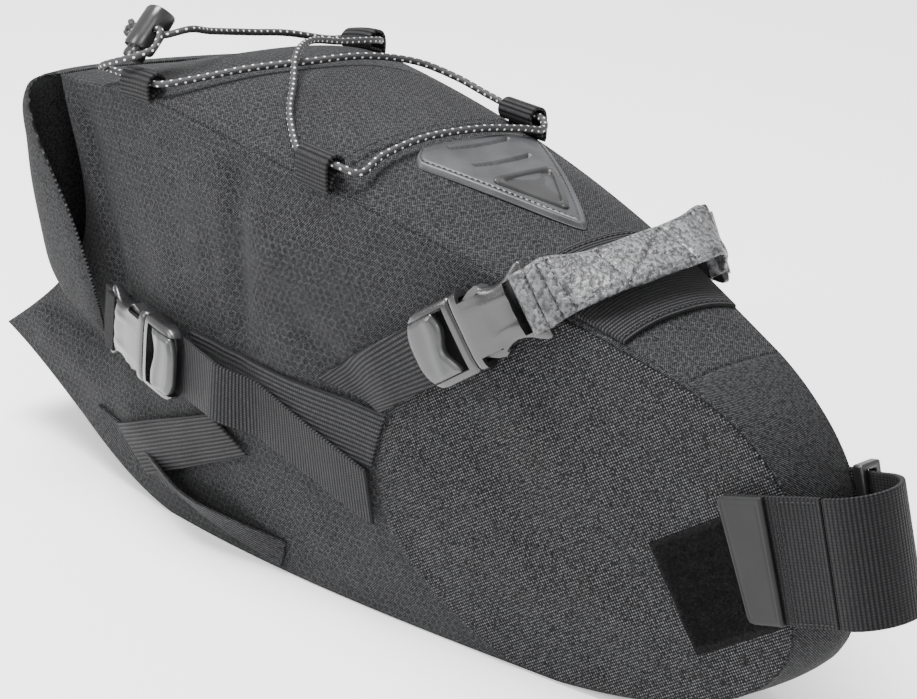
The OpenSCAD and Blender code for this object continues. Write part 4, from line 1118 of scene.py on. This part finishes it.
route = np.concatenate([
    lock_pt([[-11, -cord_pitch / 2, 0], [0, -cord_pitch / 2, 0], [9, -cord_pitch / 2, 0]]),
    [[-125, -52, 205.5], [-126, -59, 203.5], [-132, -64, 201.5], [-141, -65.5, 199], [-148, -63, 196.5],
     [-149.5, -58.5, 194.8], [-145, -57.5, 193.8]],
    in_loop(loop_x[0], -1),
    over_top([[-103, -46, 5], [-92, -26, 4], [-82, -4, 3.4], [-76, 20, 4], [-70, 42, 5], [-58, 54, 6],
              [-42, 58, 6], [-28, 58, 6]]),
    in_loop(loop_x[1], 1),
    over_top([[8, 46, 7], [10, 32, 5.4], [9, 10, 5.2], [6, -14, 5.2], [5, -34, 5.4], [7, -47, 7]]),
    in_loop(loop_x[1], -1)[::-1],
    over_top([[-30, -51, 5], [-48, -40, 4], [-64, -26, 4], [-80, -12, 8.5], [-94, 6, 8.5], [-102, 28, 5],
              [-106, 48, 6]]),
    in_loop(loop_x[0], 1)[::-1],
    [[-140, 50, 194], [-142, 30, 199], [-140, 8, 202], [-134, -16, 206], [-127, -32, 210]],
    lock_pt([[9, cord_pitch / 2, 0], [0, cord_pitch / 2, 0], [-11, cord_pitch / 2, 0]])])


def tube(name, path, r, finish, sides=16):
    """A round cord swept along a smooth path: each ring's side is carried on from the ring before."""
    d = np.gradient(path, axis=0)
    d /= np.linalg.norm(d, axis=1)[:, None]
    side = np.zeros_like(d)
    side[0] = np.cross(d[0], (0, 0, 1)) if abs(d[0, 2]) < 0.9 else np.cross(d[0], (1, 0, 0))
    for k in range(1, len(d)):
        side[k] = side[k - 1] - d[k] * (side[k - 1] @ d[k])
        side[k] /= np.linalg.norm(side[k])
    side[0] /= np.linalg.norm(side[0])
    other = np.cross(d, side)
    a = np.linspace(0, 2 * np.pi, sides + 1)
    p = path[:, None] + r * (np.cos(a)[None, :, None] * side[:, None] + np.sin(a)[None, :, None]
                             * other[:, None])
    s = np.concatenate([[0], np.cumsum(np.linalg.norm(np.diff(path, axis=0), axis=1))])
    n, m = p.shape[:2]
    uv = np.stack(np.broadcast_arrays(s[:, None], (a * r)[None]), -1).reshape(-1, 2)
    faces = grid_faces(n, m)
    verts = np.concatenate([p.reshape(-1, 3), path[:1], path[-1:]])
    k = np.arange(m - 1)
    last = (n - 1) * m
    caps = [(int(b), int(c), n * m) for b, c in zip(k, k + 1)]
    caps += [(last + int(c), last + int(b), n * m + 1) for b, c in zip(k, k + 1)]
    o = put(name, verts, [tuple(q) for q in faces.tolist()] + caps,
            np.concatenate([uv, [[0, 0], [s[-1], 0]]]))
    face_out(o, 1e-7)
    o.data.materials.append(finish.mat)
    return o


cord_finish = Finish("flecked_cord", (0.012, 0.012, 0.013), 0.55, Specular_IOR_Level=0.4)
split = cord_finish.tree.nodes.new("ShaderNodeSeparateXYZ")
cord_finish.link(split.inputs[0], cord_finish.cloth())
row = cord_finish.calc("DIVIDE", split.outputs[1], math.pi * cord_d / 4 * 0.001)
odd = cord_finish.calc("MODULO", cord_finish.calc("FLOOR", row), 2.0)
step = cord_finish.calc("ADD", cord_finish.calc("DIVIDE", split.outputs[0], 0.0038),
                        cord_finish.calc("MULTIPLY", odd, 0.5))
du = cord_finish.calc("MULTIPLY", cord_finish.calc("SUBTRACT", cord_finish.calc("FRACT", step), 0.5), 3.8)
dv = cord_finish.calc("MULTIPLY", cord_finish.calc("SUBTRACT", cord_finish.calc("FRACT", row), 0.5), 2.6)
gap = cord_finish.calc("SQRT", cord_finish.calc("ADD", cord_finish.calc("MULTIPLY", du, du),
                                                cord_finish.calc("MULTIPLY", dv, dv)))
fleck = cord_finish.span(gap, 0.62, 0.42)
braid = weave(cord_finish, cord_finish.cloth(45), 0.0009)
# painted highlight: the raised strands of the braid are made paler over the dark yarn; the pale flecks are
# the cord's own
yarn_and_sheen = cord_finish.mix(braid, (0.008, 0.008, 0.009), (0.03, 0.03, 0.032))
cord_finish.set(Base_Color=cord_finish.mix(fleck, yarn_and_sheen, (0.78, 0.78, 0.78)))
cord_finish.bump(braid, 0.00012, cord_finish.bump(fleck, 0.0001))
path = slump(through(route, np.linspace(0, 1, 1100)))
cord = tube("elastic_cord", path, cord_d / 2, cord_finish)
own(cord, "root", "cord", "bungee_cord")
a = np.linspace(0, 2 * np.pi, 161)[:-1]
knot_path = np.stack([np.sin(a) + 2 * np.sin(2 * a), np.cos(a) - 2 * np.cos(2 * a), -np.sin(3 * a)],
                     -1) * 1.05
knot_path = slump(lock_pt(knot_path[:, [2, 0, 1]] * (1.6, 1, 1) + (-12.5, 0, 0)))
knot = tube("cord_knot", np.concatenate([knot_path, knot_path[:1]]), cord_d / 2 * 0.92, cord_finish, 14)
own(knot, "root", "cord")

loop_web = webbing_finish("loop_webbing", False, 0.0017, (0.002, 0.002, 0.0025), (0.035, 0.035, 0.037))
for x0 in loop_x:
    for s in (-1, 1):
        yc, zc = loop_y(x0), loop_z(x0)
        seam_y = half_w(x0) + 0.3
        foot = top_h(x0)
        line = np.array([[seam_y + 0.2, foot - 1.5], [seam_y + 1.0, foot + 1.2], [yc + 4.3, zc + 0.4],
                         [yc + 2.6, zc + 3.6], [yc - 1.2, zc + 4.2],
                         [yc - 4.2, zc + 1.2], [yc - 3.2, zc - 2.6], [yc + 0.6, zc - 4.0],
                         [seam_y - 0.6, foot + 0.4]], float)
        b = np.linspace(0, 1, 60)
        cen = through(line, b)
        tan = np.gradient(cen, axis=0)
        nrm = np.stack([tan[:, 1], -tan[:, 0]], -1) / np.linalg.norm(tan, axis=1)[:, None]
        xs = np.linspace(-loop_len / 2, loop_len / 2, 15)

        def lay(off):
            c = cen + nrm * off
            return slump(np.stack([x0 + xs[None] + 0 * c[:, :1], s * (c[:, :1] + 0 * xs), c[:, 1:] + 0 * xs],
                                  -1))

        loop = slab(f"cord_loop_{'right' if s < 0 else 'left'}_{'rear' if x0 < -60 else 'front'}",
                    lay(-0.65), lay(0.65), loop_web, bevel=0.3)
        face_out(loop)
        own(loop, "root", "webbing", "cord_loops")

# ---------------------------------------------------------------------------
# Cord lock: a barrel with a sprung plunger, both slotted for the two strands
# of cord, moulded in satin black acetal.
# ---------------------------------------------------------------------------


def turned_body(name, ends, radii, power=2.6):
    """A body of rings along the lock's own axis, slotted for the cord."""
    r = rounded(np.array(ends, float), np.array(radii, float), np.array(radii, float), power, 48)
    v, f = loft(np.stack([r[..., 1], r[..., 2], r[..., 0]], -1))
    o = put(name, v, f)
    slot_w, slot_h = cord_pitch + cord_d + 0.6, cord_d + 0.6
    cut(o, [block(-20, 20, -slot_w / 2, slot_w / 2, -slot_h / 2, slot_h / 2, 5, 24)])
    smooth_by_angle(o, 40)
    face_out(o)
    return o


def settle_lock(o, body, node):
    """Carries a piece of the lock to its place on the loaded bag."""
    carry(o, lambda p: slump(lock_pt(p)))
    o.data.materials.clear()
    o.data.materials.append(black_plastic.mat)
    own(o, body, "buckle_plastic", node)


settle_lock(turned_body("cord_lock_body", [-10, -9.7, -8.8, -4, 4, 8.6, 9.7, 10],
                        [5.2, 6.1, 6.5, 6.5, 6.5, 6.4, 5.8, 4.6]), "root", "cord_lock_barrel")
settle_lock(turned_body("cord_lock_button", [-14.5, -14.2, -13.2, -11.8, -11, -4, 3, 3.3],
                        [3.6, 4.3, 4.6, 4.6, 4.4, 4.4, 4.4, 4.2]), "cord_lock_plunger", "cord_lock_plunger")
steel = Finish("spring_wire", (0.55, 0.55, 0.56), 0.3, Metallic=1.0)
steel.bump(steel.noise(steel.place(), 900), 0.00003)
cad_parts["cord_lock_spring"].data.materials.clear()
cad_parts["cord_lock_spring"].data.materials.append(steel.mat)

# ---------------------------------------------------------------------------
# Stiff sheet inside the base: plain black plastic, seen only when the mouth
# stands open.
# ---------------------------------------------------------------------------
sheet_plastic = plastic("base_sheet", (0.02, 0.02, 0.021), (0.034, 0.034, 0.036), 0.5, 0.0001)
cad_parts["base_stiffener"].data.materials.clear()
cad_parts["base_stiffener"].data.materials.append(sheet_plastic.mat)

# ---------------------------------------------------------------------------
# Seatpost strap: 50 mm ribbed webbing sewn to the left of the nose, run
# through a ring, round the post and back on to a loop-pile patch on the
# right, where a moulded tab ends it.
# ---------------------------------------------------------------------------
post_reach, post_tilt, post_z, post_r, strap_t, wide_w = 19.5, 15, 94, 15.8, 2.4, 50
post_x = nose_x + post_reach
flap_lift = 1.2 + 1.2 + 0.3
strap_web = webbing_finish("strap_webbing", False, 0.0018, (0.002, 0.002, 0.0025), (0.022, 0.022, 0.024))


def strap_xz(lx, lz):
    """Strap coordinates, along it from the post's axis and up it, to the bag's x and z."""
    t = math.radians(post_tilt)
    return post_x + lx * math.cos(t) - lz * math.sin(t), post_z + lx * math.sin(t) + lz * math.cos(t)


def leg(lx, lz, lift, drop, off, s):
    """Straight part of the strap: laid on the side, then in to the post."""
    x, z = strap_xz(lx, lz)
    t = ramp((lx + post_reach + 2) / post_reach)
    y = lerp(side_y(np.minimum(x, nose_x), z) + lift, post_r + drop, t) + off
    return np.stack([x, s * y, z], -1)


def wrap(fi, lz, off):
    """Round the post: fi from 0 on the left to 1 on the right."""
    r = post_r + off
    x, z = strap_xz(r * np.sin(np.pi * fi), lz)
    return np.stack([x, r * np.cos(np.pi * fi), z], -1)


lz = np.linspace(wide_w / 2, -wide_w / 2, 27)
a, b = np.meshgrid(np.linspace(-34, -0.5, 46), lz, indexing="ij")
c, d = np.meshgrid(np.linspace(0, 1, 60), lz, indexing="ij")
whole = [np.concatenate([leg(a, b, 1.3, 0.1, off, 1), wrap(c, d, off + 0.1)]) for off in (strap_t - 0.2, 0.0)]
strap = slab("post_strap", whole[0], whole[1], strap_web, bevel=0.5)
own(strap, "root", "strap_webbing", "seatpost_strap")
a, b = np.meshgrid(np.linspace(-0.7, -44, 60), lz, indexing="ij")
flap = slab("post_strap_flap", leg(a, b, flap_lift, 0.1, strap_t - 0.2, -1),
            leg(a, b, flap_lift, 0.1, 0, -1), strap_web, bevel=0.5)
own(flap, "strap_flap", "strap_webbing", "strap_flap")
rows = [leg(np.full(60, lx), np.linspace(23.5, -23.5, 60), flap_lift, 0.1, strap_t - 0.1, -1)
        for lx in (-21.5, -19.5)]
rows += [leg(np.linspace(-19, -3, 40), np.full(40, z0), flap_lift, 0.1, strap_t - 0.1, -1)
         for z0 in (23.2, -23.2)]
stitches("strap_stitching", rows, [np.array([0, -1.0, 0])] * 4, 2.4, 1.8, 0.24, "strap_flap", dark_thread,
         "strap_webbing")

tab_rubber = Finish("tab_rubber", (0.010, 0.010, 0.011), 0.55, Specular_IOR_Level=0.3)
at = tab_rubber.place()
tab_rubber.set(Base_Color=tab_rubber.mix(tab_rubber.span(tab_rubber.noise(at, 50, 3), 0.3, 0.7),
                                         (0.003, 0.0031, 0.0034), (0.005, 0.0051, 0.0055)))
tab_rubber.bump(tab_rubber.noise(at, 1800, 2), 0.00004)
i, j = np.meshgrid(np.linspace(0, 1, 40), np.linspace(-1, 1, 61), indexing="ij")
corner = np.clip((np.abs(j) * 25 - 22) / 3, 0, 1)
far = -46.5 + 3 * (1 - np.sqrt(1 - corner ** 2)) + 2.2 * (j + 1)
lx, lz = lerp(-25.5, far, i), -j * 25
edge = np.minimum(np.minimum(i, 1 - i) * 20, (1 - np.abs(j)) * 25)
thick = 1.5 + 0.6 * ramp(edge / 1.0) - 0.25 * np.exp(-((edge - 2.2) / 0.35) ** 2)
tab = slab("pull_tab", leg(lx, lz, flap_lift + strap_t + 0.1, strap_t, thick, -1),
           leg(lx, lz, flap_lift + strap_t + 0.1, strap_t, 0, -1), tab_rubber)
own(tab, "strap_flap", "tab_rubber", "strap_pull_tab")
soften("strap_ring", 0.9, "root", "buckle_plastic", black_plastic)

# the pile patch: a woven ground with a border, and short curled fibres standing on it
patch_corners = ((nose_x - 65, 75), (nose_x - 42, 35), (nose_x - 25, 101), (nose_x - 3, 60))
pile = Finish("loop_pile", (0.008, 0.008, 0.009), 0.85, Specular_IOR_Level=0.1)
at = pile.place()
pile.set(Base_Color=pile.mix(pile.span(pile.noise(at, 900, 3), 0.35, 0.8), (0.0012, 0.0012, 0.0014),
                             (0.009, 0.009, 0.0095)))
pile.bump(pile.noise(at, 1300, 3), 0.0005)
band("loop_patch_ground", side_band(*patch_corners, 1.0 + 0.9, 40, 24), 0.9, np.array([0, -1.0, 0]), pile,
     ["loop_patch"], "pile_fabric")
rng = np.random.default_rng(5)
n = 5200
u, w = rng.uniform(0.03, 0.97, n), rng.uniform(0.05, 0.95, n)
pc = np.array(patch_corners, float)
foot = lerp(lerp(pc[0], pc[2], u[:, None]), lerp(pc[1], pc[3], u[:, None]), w[:, None])
foot = on_side(foot[:, 0], foot[:, 1], 1.9)
turn = rng.uniform(0, 2 * np.pi, n)
size = rng.uniform(0.5, 1.1, n)
seg = np.linspace(0, 1, 6)
lean = np.stack([np.cos(turn), 0 * turn, np.sin(turn)], -1)
reach = lean[:, None] * (size[:, None] * 1.3 * (seg ** 1.2))[..., None]
curl = np.array([0, -1.0, 0]) * (size[:, None] * np.sin(seg * 2.6))[..., None]
hair = foot[:, None] + reach + curl
wide_h = np.cross(lean, (0, -1.0, 0))[:, None] * 0.055 * (1 - 0.5 * seg)[None, :, None]
thick_h = np.array([0, -1.0, 0]) * 0.055
ring = np.stack([hair - wide_h, hair + wide_h, hair + thick_h], 2)
verts = ring.reshape(-1, 3)
k, m = np.meshgrid(np.arange(5), np.arange(3), indexing="ij")
k, m = k.ravel(), m.ravel()
quad = np.stack([k * 3 + m, k * 3 + (m + 1) % 3, (k + 1) * 3 + (m + 1) % 3, (k + 1) * 3 + m], -1)
faces = (quad[:, ::-1][None] + (np.arange(n) * 18)[:, None, None]).reshape(-1, 4)
tufts = put("loop_patch_pile", verts, faces)
tufts.data.materials.append(pile.mat)
own(tufts, "root", "pile_fabric")
